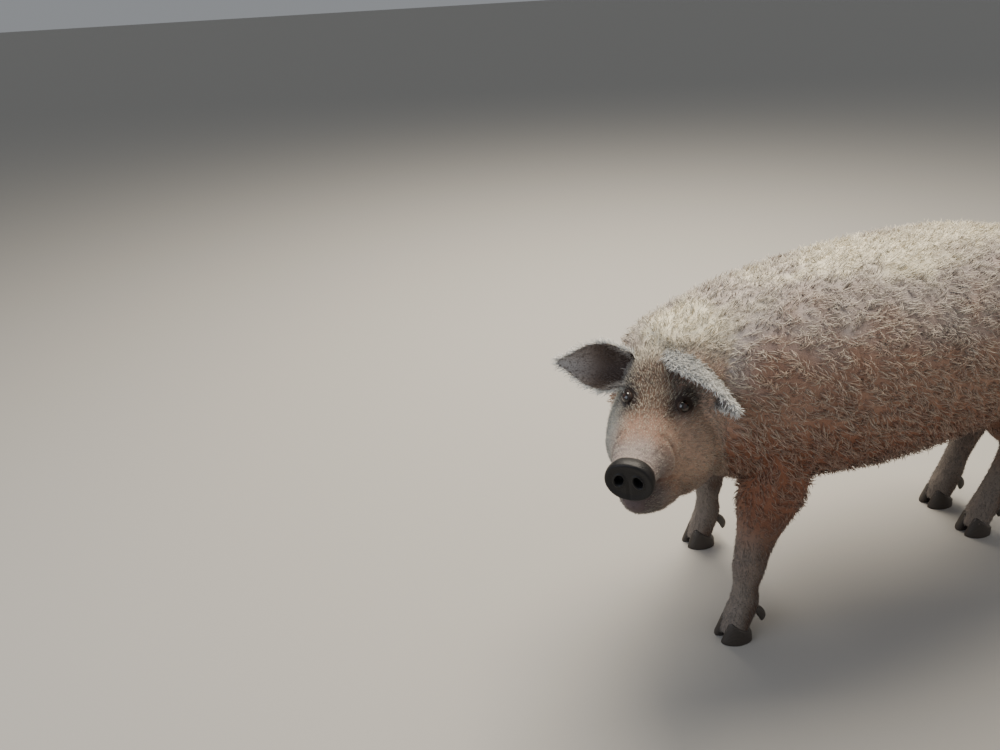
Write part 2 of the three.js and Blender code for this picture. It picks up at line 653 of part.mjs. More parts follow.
const hindBody = cut(body, [spinePlane(LOIN_CUT, -NODE_GAP / 2, 1), tailSocket]);
addWithLimbs("rump", "thigh", hindBody, THIGH_TOP);
addNode("barrel", cut(body, between(LOIN_CUT, SHOULDER_CUT)), HIDE);
const foreBody = cut(body, [...between(SHOULDER_CUT, NECK_CUT), headSocket, ...earSockets]);
addWithLimbs("chest", "shoulder", foreBody, SHOULDER_TOP);
const headForward = vec(1, 0, 0).transformDirection(headMatrix);
const cheeks = halfSpace(vec(NECK_FACE, 0, 0).applyMatrix4(headMatrix), headForward);
const neckBody = cut(body, [spinePlane(NECK_CUT, NODE_GAP / 2, -1)]);
addNode("neck", cut(neckBody, [headSocket, jawSocket, ...earSockets, cheeks]), HIDE);
const bareHead = headLoft(HEAD, HEAD_RINGS, INSET);
addNode("head", cut(withEyes(bareHead), [jawSocket, ...earSockets]), FACE);
addNode("lower_jaw", jaw, FACE);
const snout = headLoft(SNOUT, SNOUT_RINGS, SHRUNK);
addNode("snout_disc", cut(snout, [nostril(-1), nostril(1), jawSocket]), SNOUT_LEATHER);
for (const [name, ear] of Object.entries(EARS)) addNode(`ear_${name}`, earSolid(ear), HIDE);
for (const [name, side] of [["left", 1], ["right", -1]]) {
  addNode(`eye_${name}`, headEgg(eyeCentre(side), [EYE_RADIUS, EYE_RADIUS, EYE_RADIUS]), EYE_GLOSS);
}
for (const [name, foot] of Object.entries(FEET)) addFoot(name, foot);
addNode("tail_dock", tailPart(0, BRUSH_AT, INSET), HIDE);
addNode("tail_brush", tailBrush(), HIDE);

// The origin goes under the middle of the whole animal.
const box = new THREE.Box3().setFromObject(animal);
const middle = box.getCenter(vec(0, 0, 0));
for (const node of animal.children) node.geometry.translate(-middle.x, -middle.y, -box.min.z);

export default animal;
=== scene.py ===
"""A blonde mangalica sow, life size, as a museum shows her: one skin, a curly coat of mesh tufts,
lidded eyes, a wet snout and claws. Metres, +Z up. She faces -X and her left side is -Y."""

import math

import bmesh
import bpy
import numpy as np
from mathutils import Matrix, Vector, kdtree


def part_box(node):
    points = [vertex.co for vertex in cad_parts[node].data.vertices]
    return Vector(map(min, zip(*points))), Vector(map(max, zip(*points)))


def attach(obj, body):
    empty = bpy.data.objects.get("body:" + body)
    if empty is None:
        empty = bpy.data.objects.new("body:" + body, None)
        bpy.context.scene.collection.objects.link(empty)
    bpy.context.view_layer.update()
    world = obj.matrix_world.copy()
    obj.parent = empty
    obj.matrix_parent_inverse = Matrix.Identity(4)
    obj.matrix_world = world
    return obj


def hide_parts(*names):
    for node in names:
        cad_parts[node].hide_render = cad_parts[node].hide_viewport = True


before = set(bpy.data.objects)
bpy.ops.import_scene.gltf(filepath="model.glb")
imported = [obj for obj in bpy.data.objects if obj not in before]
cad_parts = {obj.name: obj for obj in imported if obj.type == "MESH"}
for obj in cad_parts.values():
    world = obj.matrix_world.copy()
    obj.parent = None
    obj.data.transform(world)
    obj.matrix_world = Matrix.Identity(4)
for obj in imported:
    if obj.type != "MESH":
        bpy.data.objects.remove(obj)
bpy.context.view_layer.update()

# Camera: where the photograph was taken from, in the body's axes before the floor centring
CAMERA_AT = (-1278.0, -1132.0, 1340.0)
CAMERA_LENS = 27.36
CAMERA_SENSOR = 36.0
CAMERA_HEADING = 18.68  # degrees from +Y towards +X
WORLD_DOWN_IN_VIEW = (62.0, 1405.0, 760.0)  # right, down and into the picture

MM = 0.001
SEED = 11
MARKING_LAYER = "Coat"
SKIN_VOXEL = 5.0
SKIN_UNDER_COAT = 0.55  # of the coat's depth on the trunk
FACE_UNDER_HAIR = 0.6
JAW_HAIR, TAIL_HAIR = 1.5, 3.0
EYE_RADIUS = 13.0
EAR_LENGTH = 145.0
EAR_WIDTH = 90.0
EAR_THICKNESS = 5.0
HEAD_TURN, HEAD_NOD, HEAD_ROLL = 47.0, 4.0, 5.0
LEG_HAIR = 3.0  # depth of the short hair on the legs
THIGH_WOOL = dict(depth=10.0, none=330, full=430)  # more over the elbow and stifle, by height

# Rows of a limb: centre x, y, z, then its reach at the top, upper side, side, lower side and
# bottom out to the coat's tips, then the coat's depth. Millimetres.
SPINE = np.array([
    [556, 0, 604, 24, 24, 24, 24, 24, 14],
    [543, 0, 600, 82, 86, 88, 86, 82, 18],
    [505, 0, 590, 134, 142, 152, 148, 134, 22],
    [440, 0, 582, 182, 190, 196, 188, 158, 26],
    [340, 0, 576, 214, 218, 218, 208, 178, 28],
    [200, 0, 576, 244, 240, 230, 228, 214, 28],
    [50, 0, 576, 254, 250, 240, 244, 244, 28],
    [-100, 0, 574, 252, 248, 240, 250, 250, 28],
    [-230, 0, 572, 243, 238, 232, 240, 248, 28],
    [-330, 3, 570, 232, 226, 216, 226, 232, 28],
    [-415, 12, 568, 214, 209, 198, 206, 208, 28],
    [-485, 22, 570, 188, 186, 176, 186, 190, 26],
    [-535, 26, 574, 160, 160, 152, 168, 176, 22],
    [-572, 26, 578, 138, 136, 126, 144, 164, 18],
    [-598, 24, 582, 92, 92, 84, 98, 116, 14],
], float)
# Share of the way from the foot to the joint in the body, reach back, height, then reaches.
FORELEG = [
    [1, 0, 470, 72, 72, 62, 76, 80],
    [0.8, 0, 405, 76, 72, 62, 76, 84],
    [0.55, 0, 355, 66, 62, 56, 66, 76],
    [0.4, 0, 314, 54, 52, 47, 54, 62],
    [0.24, 0, 262, 42, 41, 38, 42, 46],
    [0.12, 1, 222, 37, 36, 34, 37, 40],
    [0.06, 2, 184, 36, 35, 33, 35, 38],
    [0.03, 3, 140, 30, 29, 28, 29, 31],
    [0, 4, 95, 32, 32, 31, 34, 37],
    [0, -5, 60, 32, 32, 32, 35, 36],
    [0, -14, 14, 33, 33, 33, 32, 30],
]
HINDLEG = [
    [1, 12, 550, 128, 120, 72, 112, 112],
    [1, 0, 470, 136, 124, 76, 120, 116],
    [0.95, -10, 400, 118, 106, 68, 104, 106],
    [0.75, -8, 340, 82, 76, 54, 76, 84],
    [0.5, 26, 288, 54, 52, 44, 52, 58],
    [0.35, 42, 242, 42, 40, 37, 44, 50],
    [0.2, 33, 190, 34, 33, 31, 34, 36],
    [0.1, 20, 140, 32, 31, 30, 31, 33],
    [0.04, 10, 95, 33, 33, 32, 35, 38],
    [0, -3, 60, 33, 33, 33, 36, 37],
    [0, -14, 14, 33, 33, 33, 32, 30],
]
FORE_JOINT, HIND_JOINT = (-352, 126), (400, 78)
FEET = {
    "fore_left": dict(x=-409, y=-142, side=-1, rows=FORELEG, joint=FORE_JOINT),
    "fore_right": dict(x=-308, y=155, side=1, rows=FORELEG, joint=FORE_JOINT),
    "hind_left": dict(x=366, y=-76, side=-1, rows=HINDLEG, joint=HIND_JOINT),
    "hind_right": dict(x=372, y=48, side=1, rows=HINDLEG, joint=HIND_JOINT),
}
TAIL = np.array([
    [518, 0, 694, 20, 20, 20, 20, 20],
    [552, 0, 684, 19, 19, 19, 19, 19],
    [580, 3, 656, 16, 16, 16, 16, 16],
    [594, 8, 612, 14, 14, 14, 14, 14],
    [598, 12, 562, 13, 13, 13, 13, 13],
    [596, 13, 512, 15, 16, 17, 16, 15],
    [592, 12, 460, 20, 22, 24, 22, 20],
    [590, 10, 405, 20, 23, 26, 23, 20],
    [590, 8, 350, 14, 16, 19, 16, 14],
    [592, 7, 312, 5, 6, 7, 6, 5],
], float)
HEAD_AT = np.array([-606.0, -49.0, 600.0])
HEAD = np.array([
    [-125, 14, -14, 66, 76, 84, 112, 140, 16],
    [-84, 13, -18, 108, 106, 98, 140, 184, 16],
    [-46, 11, -22, 98, 100, 102, 154, 206, 13],
    [-10, 9, -27, 70, 80, 96, 156, 210, 9],
    [20, 6, -32, 54, 62, 86, 148, 198, 6],
    [52, 3, -36, 42, 50, 72, 128, 168, 5],
    [90, 1, -40, 34, 43, 58, 86, 100, 4],
    [130, 0, -43, 31, 38, 48, 54, 46, 3],
    [160, 0, -45, 34, 38, 43, 44, 40, 2],
    [176, 0, -45, 37, 40, 42, 41, 38, 1],
], float)
JAW = np.array([
    [36, 2, -136, 16, 34, 62, 70, 66],
    [75, 1, -130, 16, 30, 57, 63, 62],
    [105, 0, -122, 16, 27, 50, 54, 54],
    [132, 0, -111, 16, 23, 40, 44, 46],
    [156, 0, -102, 16, 19, 31, 35, 38],
    [173, 0, -96, 9, 11, 18, 21, 24],
], float)
HEAD_REACH = 330.0  # from the middle of the eyes to the snout and the jowls
HEAD_MIDDLE = 11.0  # of the cheeks, to her left
FACE_MIDDLE, MUZZLE_MIDDLE = np.array([40.0, 0, -50]), np.array([105.0, 0, -60])
EYE = dict(station=3.6, angle=55.0, sunk=7.0)
EARS = {
    "left": dict(root=(-70, 69, 62), out=(0.85, 0.73, -0.29), wide=(0.2, -0.43, 1), droop=0.05, cup=0.8),
    "right": dict(root=(-58, -74, 32), out=(-0.1, -0.97, -0.06), wide=(0.45, 0, -0.85), droop=0, cup=0.5),
}
EAR_OUTLINE = np.array([[0.66], [0.84], [1], [0.98], [0.86], [0.62], [0.32], [0.06]])
EAR_ROOT = -0.2  # start of the ear inside the head, as a share of its length
MOUTH_LINE = [[84, 100, 125, 176], [-108, -99, -91, -87]]  # x and z in the head's axes
MUZZLE_FOLD = 92.0  # where the muzzle's skin folds behind the lips
WRINKLE_APART = 13.0
EYE_LOOK, EYE_SLIT_LINE = (0.45, 0.8, 0.35), (0.8, -0.5, -0.12)  # ahead, outward, up
EYE_OPEN = dict(half_length=10.5, above=3.4, below=4.8)
LID_THICKNESS = 1.7

UP = np.array([0.0, 0.0, 1.0])
FORWARD = np.array([-1.0, 0.0, 0.0])


# Shapes


def unit(v):
    return v / np.maximum(np.linalg.norm(v, axis=-1, keepdims=True), 1e-9)


def smooth_step(low, high, x):
    s = np.clip((x - low) / (high - low), 0, 1)
    return s * s * (3 - 2 * s)


def between(a, b, c, d, f):
    """Catmull-Rom: a share f of the way from b to c, smooth with a before and d after them."""
    ease = 3 * f**2 - 2 * f**3
    return b * (1 - ease) + c * ease + (c - a) / 2 * (f**3 - 2 * f**2 + f) + (d - b) / 2 * (f**3 - f**2)


def row_at(rows, t):
    """The rows of a table joined by a smooth curve, at row numbers t."""
    t = np.asarray(t, float)
    i = np.clip(np.floor(t).astype(int), 0, len(rows) - 2)
    f = (t - i)[..., None]
    padded = np.vstack([2 * rows[0] - rows[1], rows, 2 * rows[-1] - rows[-2]])
    return between(*(padded[i + k] for k in range(4)), f)


def reach_at(row, angle):
    """Reach at an angle from the top, through five reaches 45 degrees apart, mirrored."""
    turned = np.abs(np.arctan2(np.sin(angle), np.cos(angle))) / (math.pi / 4)
    i = np.clip(np.floor(turned).astype(int), 0, 3)
    f = turned - i
    five = row[..., 3:8]
    around = np.concatenate([five[..., 1:2], five, five[..., 3:4]], axis=-1)
    four = (np.take_along_axis(around, (i + k)[..., None], -1)[..., 0] for k in range(4))
    return between(*four, f)


def axes_at(rows, t, up_hint):
    """Centre, forward, left, up and row of a limb at row numbers t."""
    ahead = row_at(rows, np.asarray(t) + 0.02)[..., :3]
    behind = row_at(rows, np.asarray(t) - 0.02)[..., :3]
    forward = unit(ahead - behind)
    left = unit(np.cross(up_hint, forward))
    row = row_at(rows, t)
    return row[..., :3], forward, left, np.cross(forward, left), row


def limb_grid(rows, t, sides, up_hint, depth):
    """Points round a limb, ring by ring. depth(row) is how far they lie under its outside."""
    angle = np.arange(sides) * 2 * math.pi / sides
    centre, _, left, up, row = axes_at(rows, t, up_hint)
    row = np.repeat(row[:, None], sides, 1)
    angles = np.repeat(angle[None], len(t), 0)
    reach = (reach_at(row, angles) - depth(row))[..., None]
    across = np.cos(angle)[None, :, None] * up[:, None] + np.sin(angle)[None, :, None] * left[:, None]
    return centre[:, None] + across * reach


def closed_loft(grid):
    """Vertices and faces of a closed body through rings."""
    rings, sides = grid.shape[:2]
    at = np.arange(rings * sides).reshape(rings, sides)
    nxt = np.roll(at, -1, 1)
    quads = np.stack([at[:-1], at[1:], nxt[1:], nxt[:-1]], -1).reshape(-1, 4).tolist()
    ends = [at[0].tolist(), at[-1][::-1].tolist()]
    return grid.reshape(-1, 3), quads + ends


def leg_rows(foot):
    joint_x, joint_y = foot["joint"]
    to_x, to_y = joint_x - foot["x"], foot["side"] * joint_y - foot["y"]
    return np.array([[foot["x"] + back + share * to_x, foot["y"] + share * to_y, z, *reach]
                     for share, back, z, *reach in foot["rows"]], float)


turn, nod, roll = (math.radians(v) for v in (180 + HEAD_TURN, HEAD_NOD, HEAD_ROLL))
tilted = Matrix.Rotation(nod, 3, "Y") @ Matrix.Rotation(roll, 3, "X")
HEAD_AXES = np.array(Matrix.Rotation(turn, 3, "Z") @ tilted)


def from_head(points):
    return points @ HEAD_AXES.T + HEAD_AT


def to_head(points):
    return (points - HEAD_AT) @ HEAD_AXES


def eye_place(side):
    """An eye's centre and the way it looks out, in the head's axes."""
    t = np.array([EYE["station"]])
    centre, _, left, up, row = axes_at(HEAD, t, UP)
    angle = side * math.radians(EYE["angle"])
    out = math.cos(angle) * up[0] + math.sin(angle) * left[0]
    reach = reach_at(row, np.array([angle]))[0] - EYE["sunk"]
    return centre[0] + out * reach, out


# The floor centring of the CAD model, read from the left eye.
eye_box = np.array(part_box("eye_left")) / MM
CENTRING = eye_box.mean(0) - from_head(eye_place(1)[0])


def to_scene(points):
    return (points + CENTRING) * MM


def add_object(name, data):
    """A new object in the scene."""
    made = bpy.data.objects.new(name, data)
    bpy.context.scene.collection.objects.link(made)
    return made


def mesh_object(name, points, faces, material):
    """A smooth mesh from points in the scene's metres."""
    mesh = bpy.data.meshes.new(name)
    mesh.from_pydata(points.tolist(), [], faces)
    mesh.validate()
    mesh.update()
    mesh.polygons.foreach_set("use_smooth", [True] * len(mesh.polygons))
    if material:
        mesh.materials.append(material)
    return add_object(name, mesh)


def points_of(mesh):
    flat = np.empty(len(mesh.vertices) * 3)
    mesh.vertices.foreach_get("co", flat)
    return flat.reshape(-1, 3)


def normals_of(mesh):
    flat = np.empty(len(mesh.vertices) * 3)
    mesh.vertex_normals.foreach_get("vector", flat)
    return flat.reshape(-1, 3)


def applied(made):
    """The object with its modifiers worked into its mesh."""
    depsgraph = bpy.context.evaluated_depsgraph_get()
    mesh = bpy.data.meshes.new_from_object(made.evaluated_get(depsgraph))
    made.modifiers.clear()
    made.data = mesh
    return made


def paint(mesh, colours):
    """Gives each vertex its place in the markings."""
    layer = mesh.color_attributes.new(MARKING_LAYER, "FLOAT_COLOR", "POINT")
    layer.data.foreach_set("color", np.hstack([colours, np.ones((len(colours), 1))]).ravel())


def lattice(cells, seed):
    dots = cells @ np.array([127.1, 311.7, 74.7]) + seed * 17.3
    return np.abs(np.modf(np.sin(dots) * 43758.5453)[0])


def patches(points, size, seed):
    """Smooth noise from 0 to 1, in patches about size across."""
    cell = np.floor(points / size)
    f = points / size - cell
    f = f * f * (3 - 2 * f)
    total = np.zeros(len(points))
    for corner in np.ndindex(2, 2, 2):
        weight = np.prod(np.where(corner, f, 1 - f), axis=1)
        total += weight * lattice(cell + np.array(corner), seed)
    return total


# Colours and markings


def linear(hex_colour):
    """sRGB hex to linear light."""
    parts = np.array([int(hex_colour[i : i + 2], 16) / 255 for i in (0, 2, 4)])
    return np.where(parts <= 0.04045, parts / 12.92, ((parts + 0.055) / 1.055) ** 2.4)


CREAM = linear("ece3ca")  # washed and bleached wool of the back
ASH = linear("b9ada6")  # wool of the upper flank, its grey partly painted shade
WOOL_TAN = linear("b08a74")  # wool of the flanks, with the warm hide showing through
RUST = linear("96644b")  # stained wool low on the sides
# Belly brown: partly dirt, partly painted shade under the body.
BELLY = linear("6b4532")
BROW_BROWN = linear("69503f")
FACE_TAN = linear("8d6d5b")
CHEEK = linear("c3a28c")
# Pale hair of the right cheek, tinted blue with painted sky light.
CHEEK_PALE = linear("c9d0cd")
MUZZLE_GREY = linear("8a817f")
LIP = linear("57494a")
# Painted shade round the eyes, behind them and deep in the ears' cups; also the colour of dark hairs and
# freckles.
EYE_SHADE = linear("2a1e19")
LEG_GREY = linear("83786f")
LEG_BROWN = linear("553f31")
EAR_WHITE = linear("f6f5ef")
EAR_INSIDE = linear("5a4436")
IRIS_BROWN = linear("38231a")
IRIS_EDGE = linear("120c09")
PUPIL_BLACK = linear("050404")
EYE_WHITE = linear("4a3b33")  # the eye's white, darkened by painted shade of the lids


def mix(a, b, share):
    return a + (b - a) * np.asarray(share)[..., None]


def layered(colour, *tints):
    """A colour with tints laid over it in turn, each given with its share."""
    for tint, share in tints:
        colour = mix(colour, tint, share)
    return colour


def bump_near(points, centre, radius):
    """1 at a centre, falling off round it."""
    return np.exp(-((np.linalg.norm((points - np.array(centre)) / np.array(radius), axis=1)) ** 2))


def head_share(points):
    """How far a place belongs to the face rather than to the neck."""
    h = to_head(points)
    near = np.linalg.norm(points - HEAD_AT, axis=1) < HEAD_REACH
    beside = smooth_step(126, 108, np.abs(h[:, 1] - HEAD_MIDDLE))
    return smooth_step(-95, -20, h[:, 0]) * beside * near


def leg_share(points):
    """How far a place belongs to a leg rather than to the trunk."""
    return smooth_step(420, 250, points[:, 2])


def marking(points, normals):
    """The animal's colour at places on it: points in its own millimetres, and the way it faces there."""
    height = points[:, 2] + 90 * (patches(points, 85, 1) - 0.5) + 50 * (patches(points, 30, 4) - 0.5)
    height = height + 95 * smooth_step(-400, -540, points[:, 0]) * smooth_step(520, 620, points[:, 2])
    behind = normals[:, 0] + 0.9 * (patches(points, 40, 2) - 0.5)
    leg = mix(LEG_GREY, LEG_BROWN, smooth_step(-0.5, 0.5, behind))
    return layered(
        CREAM,
        (ASH, smooth_step(812, 750, height)),
        (WOOL_TAN, smooth_step(760, 640, height)),
        (RUST, smooth_step(630, 450, height)),
        # Painted shade with dirt: the belly brown darkens low places that face down.
        (BELLY, 0.9 * smooth_step(480, 350, height) * smooth_step(0.5, -0.5, normals[:, 2])),
        (leg, smooth_step(380, 150, height)),
        (face_marking(points), head_share(points)),
    )


def face_marking(points):
    """The face: brown brow, tan cheeks, the right one pale with a blue tint of painted sky light, greyer
    muzzle, painted shade round the eyes and behind them under the ears, freckled with dark hair.
    """
    h = to_head(points)
    ahead, across, high = h.T
    rough = 24 * (patches(points, 26, 6) - 0.5)
    colour = layered(
        BROW_BROWN,
        (FACE_TAN, smooth_step(25, 75, ahead + rough)),
        (CHEEK, smooth_step(28, 78, across + rough)),
        # The right cheek's pale hair, with a blue tint of painted sky light.
        (CHEEK_PALE, 0.7 * smooth_step(25, 100, -across + rough)),
        (RUST, 0.7 * smooth_step(-110, -185, high + rough)),
        (MUZZLE_GREY, 0.8 * smooth_step(84, 140, ahead + rough)),
        (ASH, 0.7 * smooth_step(-25, -85, ahead + rough) * smooth_step(-60, 40, high)),
        (LIP, 0.9 * smooth_step(112, 150, ahead) * smooth_step(-70, -88, high)),
    )
    # Painted shade round each eye, and behind it on the temple where the ear's shadow falls.
    for side in (-1, 1):
        centre, _ = eye_place(side)
        shade = bump_near(h, centre + np.array([-6, 0, 3]), (34, 26, 22))
        behind = bump_near(h, centre + np.array([-30, 8 * side, 14]), (26, 22, 22))
        colour = mix(colour, EYE_SHADE, np.minimum(0.94, 1.3 * shade + 0.6 * behind))
    freckles = patches(points, 6, 3)
    return mix(colour, EYE_SHADE, 0.35 * smooth_step(0.64, 0.85, freckles))


# Materials


def new_material(name):
    material = bpy.data.materials.new(name)
    material.use_nodes = True
    material.node_tree.nodes.clear()
    return material


def node(material, kind, links=(), **settings):
    """Adds a shader node of a kind, such as TexNoise. Settings name its properties or its input
    sockets, and links are (input name, node, output name)."""
    made = material.node_tree.nodes.new("ShaderNode" + kind)
    for key, value in settings.items():
        if hasattr(made, key):
            setattr(made, key, value)
        else:
            made.inputs[key.replace("_", " ")].default_value = value
    for into, source, output in links:
        material.node_tree.links.new(source.outputs[output], made.inputs[into])
    return made


def finish_material(material, shader):
    node(material, "OutputMaterial", [("Surface", shader, "BSDF")])
    return material


def hide_material():
    """Pig's hide under the wool: warm skin with pores and fine short hair, matt and a little oily."""
    material = new_material("pig hide with short hair")
    place = node(material, "TexCoord")
    tint = node(material, "VertexColor", layer_name=MARKING_LAYER)
    hairs = node(material, "TexNoise", [("Vector", place, "Object")], Scale=620, Detail=3)
    pores = node(material, "TexNoise", [("Vector", place, "Object")], Scale=140, Detail=4)
    speckle = node(material, "MapRange", [("Value", hairs, "Fac")],
                   From_Min=0.3, From_Max=0.7, To_Min=0.62, To_Max=1.12)
    base = node(material, "VectorMath", [(0, tint, "Color"), (1, speckle, "Result")],
                operation="MULTIPLY")
    fine = node(material, "Bump", [("Height", hairs, "Fac")], Strength=0.35, Distance=0.0012)
    bump = node(material, "Bump", [("Height", pores, "Fac"), ("Normal", fine, "Normal")],
                Strength=0.3, Distance=0.003)
    shader = node(material, "BsdfPrincipled",
                  [("Base Color", base, "Vector"), ("Normal", bump, "Normal")],
                  Roughness=0.72, IOR=1.45, Metallic=0.0)
    return finish_material(material, shader)


def wool_material(name, shade, roughness):
    """Crimped wool: each lock has the colour of its place, darker at the root with painted shade and
    lighter at the tip with painted light.
    """
    material = new_material(name)
    place = node(material, "TexCoord")
    tint = node(material, "VertexColor", layer_name=MARKING_LAYER)
    crimp = node(material, "TexNoise", [("Vector", place, "Object")], Scale=900, Detail=2)
    vary = node(material, "MapRange", [("Value", crimp, "Fac")],
                From_Min=0.3, From_Max=0.7, To_Min=shade, To_Max=1.08)
    base = node(material, "VectorMath", [(0, tint, "Color"), (1, vary, "Result")],
                operation="MULTIPLY")
    bump = node(material, "Bump", [("Height", crimp, "Fac")], Strength=0.4, Distance=0.0008)
    shader = node(material, "BsdfPrincipled",
                  [("Base Color", base, "Vector"), ("Normal", bump, "Normal")],
                  Roughness=roughness, IOR=1.55, Metallic=0.0)
    shader.inputs["Sheen Weight"].default_value = 0.25
    shader.inputs["Sheen Roughness"].default_value = 0.5
    return finish_material(material, shader)


def snout_material():
    """Bare black leather of the snout, grained and wet: the sky glints in its film of water."""
    material = new_material("moist snout leather")
    place = node(material, "TexCoord")
    grain = node(material, "TexVoronoi", [("Vector", place, "Object")], Scale=420)
    blotch = node(material, "TexNoise", [("Vector", place, "Object")], Scale=60, Detail=4)
    ramp = node(material, "ValToRGB", [("Fac", blotch, "Fac")])
    ramp.color_ramp.elements[0].position = 0.35
    ramp.color_ramp.elements[0].color = (*linear("060506"), 1)
    ramp.color_ramp.elements[1].position = 0.75
    ramp.color_ramp.elements[1].color = (*linear("131012"), 1)
    rough = node(material, "MapRange", [("Value", blotch, "Fac")], To_Min=0.42, To_Max=0.7)
    bump = node(material, "Bump", [("Height", grain, "Distance")], Strength=0.5, Distance=0.001)
    shader = node(material, "BsdfPrincipled",
                  [("Base Color", ramp, "Color"), ("Roughness", rough, "Result"),
                   ("Normal", bump, "Normal")],
                  IOR=1.4, Metallic=0.0)
    shader.inputs["Coat Weight"].default_value = 0.12
    shader.inputs["Coat Roughness"].default_value = 0.3
    return finish_material(material, shader)


def eye_material():
    """A living eye: brown iris and black pupil under a clear wet cornea."""
    material = new_material("wet brown eye")
    tint = node(material, "VertexColor", layer_name=MARKING_LAYER)
    shader = node(material, "BsdfPrincipled", [("Base Color", tint, "Color")],
                  Roughness=0.12, IOR=1.38, Metallic=0.0)
    shader.inputs["Coat Weight"].default_value = 1.0
    shader.inputs["Coat Roughness"].default_value = 0.03
    return finish_material(material, shader)


def horn_material():
    """Claw horn: dark, layered round the claw as it grew."""
    material = new_material("worn claw horn")
    place = node(material, "TexCoord")
    rings = node(material, "TexWave", [("Vector", place, "Object")],
                 bands_direction="Z", Scale=90, Distortion=2.5, Detail=3)
    ramp = node(material, "ValToRGB", [("Fac", rings, "Fac")])
    ramp.color_ramp.elements[0].color = (*linear("211d1a"), 1)
    ramp.color_ramp.elements[1].color = (*linear("463d35"), 1)
    bump = node(material, "Bump", [("Height", rings, "Fac")], Strength=0.3, Distance=0.0008)
    shader = node(material, "BsdfPrincipled",
                  [("Base Color", ramp, "Color"), ("Normal", bump, "Normal")],
                  Roughness=0.55, IOR=1.55, Metallic=0.0)
    return finish_material(material, shader)


def floor_material():
    """A pale painted studio floor."""
    material = new_material("pale matt floor paint")
    shader = node(material, "BsdfPrincipled", Roughness=0.8, Metallic=0.0)
    shader.inputs["Base Color"].default_value = (*linear("aeaba5"), 1)
    return finish_material(material, shader)


HIDE = hide_material()
WOOL = wool_material("curly mangalica wool", 0.7, 0.78)
SHORT_HAIR = wool_material("short straight pig hair", 0.6, 0.7)
SNOUT = snout_material()
EYE_WET = eye_material()
HORN = horn_material()


# Skin


def skin_parts():
    """Closed bodies, one for each limb, which are then fused into one skin."""
    yield limb_grid(SPINE, up_to(14), 72, UP, lambda row: SKIN_UNDER_COAT * row[..., 8])
    yield from_head(limb_grid(HEAD, up_to(9), 64, UP, face_depth))
    yield from_head(limb_grid(JAW, up_to(5), 48, UP, lambda _: JAW_HAIR))
    for foot in FEET.values():
        yield limb_grid(leg_rows(foot), up_to(10), 48, FORWARD, leg_depth)
    yield limb_grid(TAIL, up_to(6), 32, FORWARD, lambda _: TAIL_HAIR)


def up_to(row, step=0.1):
    """Closely spaced row numbers from the first row of a limb to a given one."""
    return np.arange(0, row + 0.01, step)


def face_depth(row):
    return FACE_UNDER_HAIR * row[..., 8] + 0.5


def leg_depth(row):
    """The wool of the thighs gives way to short hair below the elbow and stifle."""
    wool = smooth_step(THIGH_WOOL["none"], THIGH_WOOL["full"], row[..., 2])
    return LEG_HAIR + THIGH_WOOL["depth"] * wool


def fused_skin():
    points, faces = [], []
    for grid in skin_parts():
        some, quads = closed_loft(grid)
        start = sum(len(p) for p in points)
        points.append(some)
        faces += [[start + i for i in face] for face in quads]
    skin = mesh_object("skin", to_scene(np.vstack(points)), faces, None)
    remesh = skin.modifiers.new("fuse", "REMESH")
    remesh.mode = "VOXEL"
    remesh.voxel_size = SKIN_VOXEL * MM
    remesh.use_smooth_shade = True
    relax = skin.modifiers.new("relax", "SMOOTH")
    relax.factor = 0.5
    relax.iterations = 6
    return applied(skin)


def refine(skin, centre_mm, radius):
    """Halves the mesh's edges within a radius of a place."""
    mesh = bmesh.new()
    mesh.from_mesh(skin.data)
    centre = Vector(to_scene(np.array(centre_mm)))
    reach = (radius * MM) ** 2
    near = [e for e in mesh.edges if (e.verts[0].co - centre).length_squared < reach]
    bmesh.ops.subdivide_edges(mesh, edges=near, cuts=1, use_grid_fill=True, smooth=0)
    mesh.to_mesh(skin.data)
    mesh.free()


def mouth_offset(h):
    """Distance from the line between the lips, in the head's axes."""
    return h[:, 2] - np.interp(h[:, 0], *MOUTH_LINE)


def ridge(distance, width):
    """1 on a line, falling off to both sides of it."""
    return np.exp(-((distance / width) ** 2))


def lip_relief(h):
    """The slit of the mouth between two rolled lips."""
    gap = mouth_offset(h)
    lips = -6.5 * ridge(gap, 3.2) + 2.0 * ridge(gap - 8, 5.0) + 1.6 * ridge(gap + 8, 5.0)
    return lips * smooth_step(80, 104, h[:, 0])


def wrinkle_relief(h):
    """Broken wrinkles over the bridge of the muzzle."""
    place = h[:, 0] + 0.12 * np.abs(h[:, 1]) ** 1.2 + 8 * patches(h, 30, 9)
    broken = smooth_step(0.3, 0.8, patches(h, 24, 8)) * smooth_step(-70, -25, h[:, 2])
    on_muzzle = smooth_step(100, 135, h[:, 0]) * smooth_step(178, 166, h[:, 0])
    return 0.8 * np.sin(place * 2 * math.pi / WRINKLE_APART) * broken * on_muzzle


def fold_relief(h):
    """The fold behind the lips and the crease of the cheek."""
    across, high = np.abs(h[:, 1]), h[:, 2]
    fold = h[:, 0] - MUZZLE_FOLD + 0.175 * (high + 40)
    sides = smooth_step(26, 42, across) * smooth_step(-100, -80, high) * smooth_step(-10, -35, high)
    crease = h[:, 0] - 2 + 0.18 * (high + 60)
    cheek = smooth_step(66, 84, across) * smooth_step(-150, -110, high) * smooth_step(-18, -36, high)
    folds = sides * (3.0 * ridge(fold - 11, 7.0) - 4.0 * ridge(fold, 6.0))
    return folds - 3.5 * cheek * ridge(crease, 7.0)


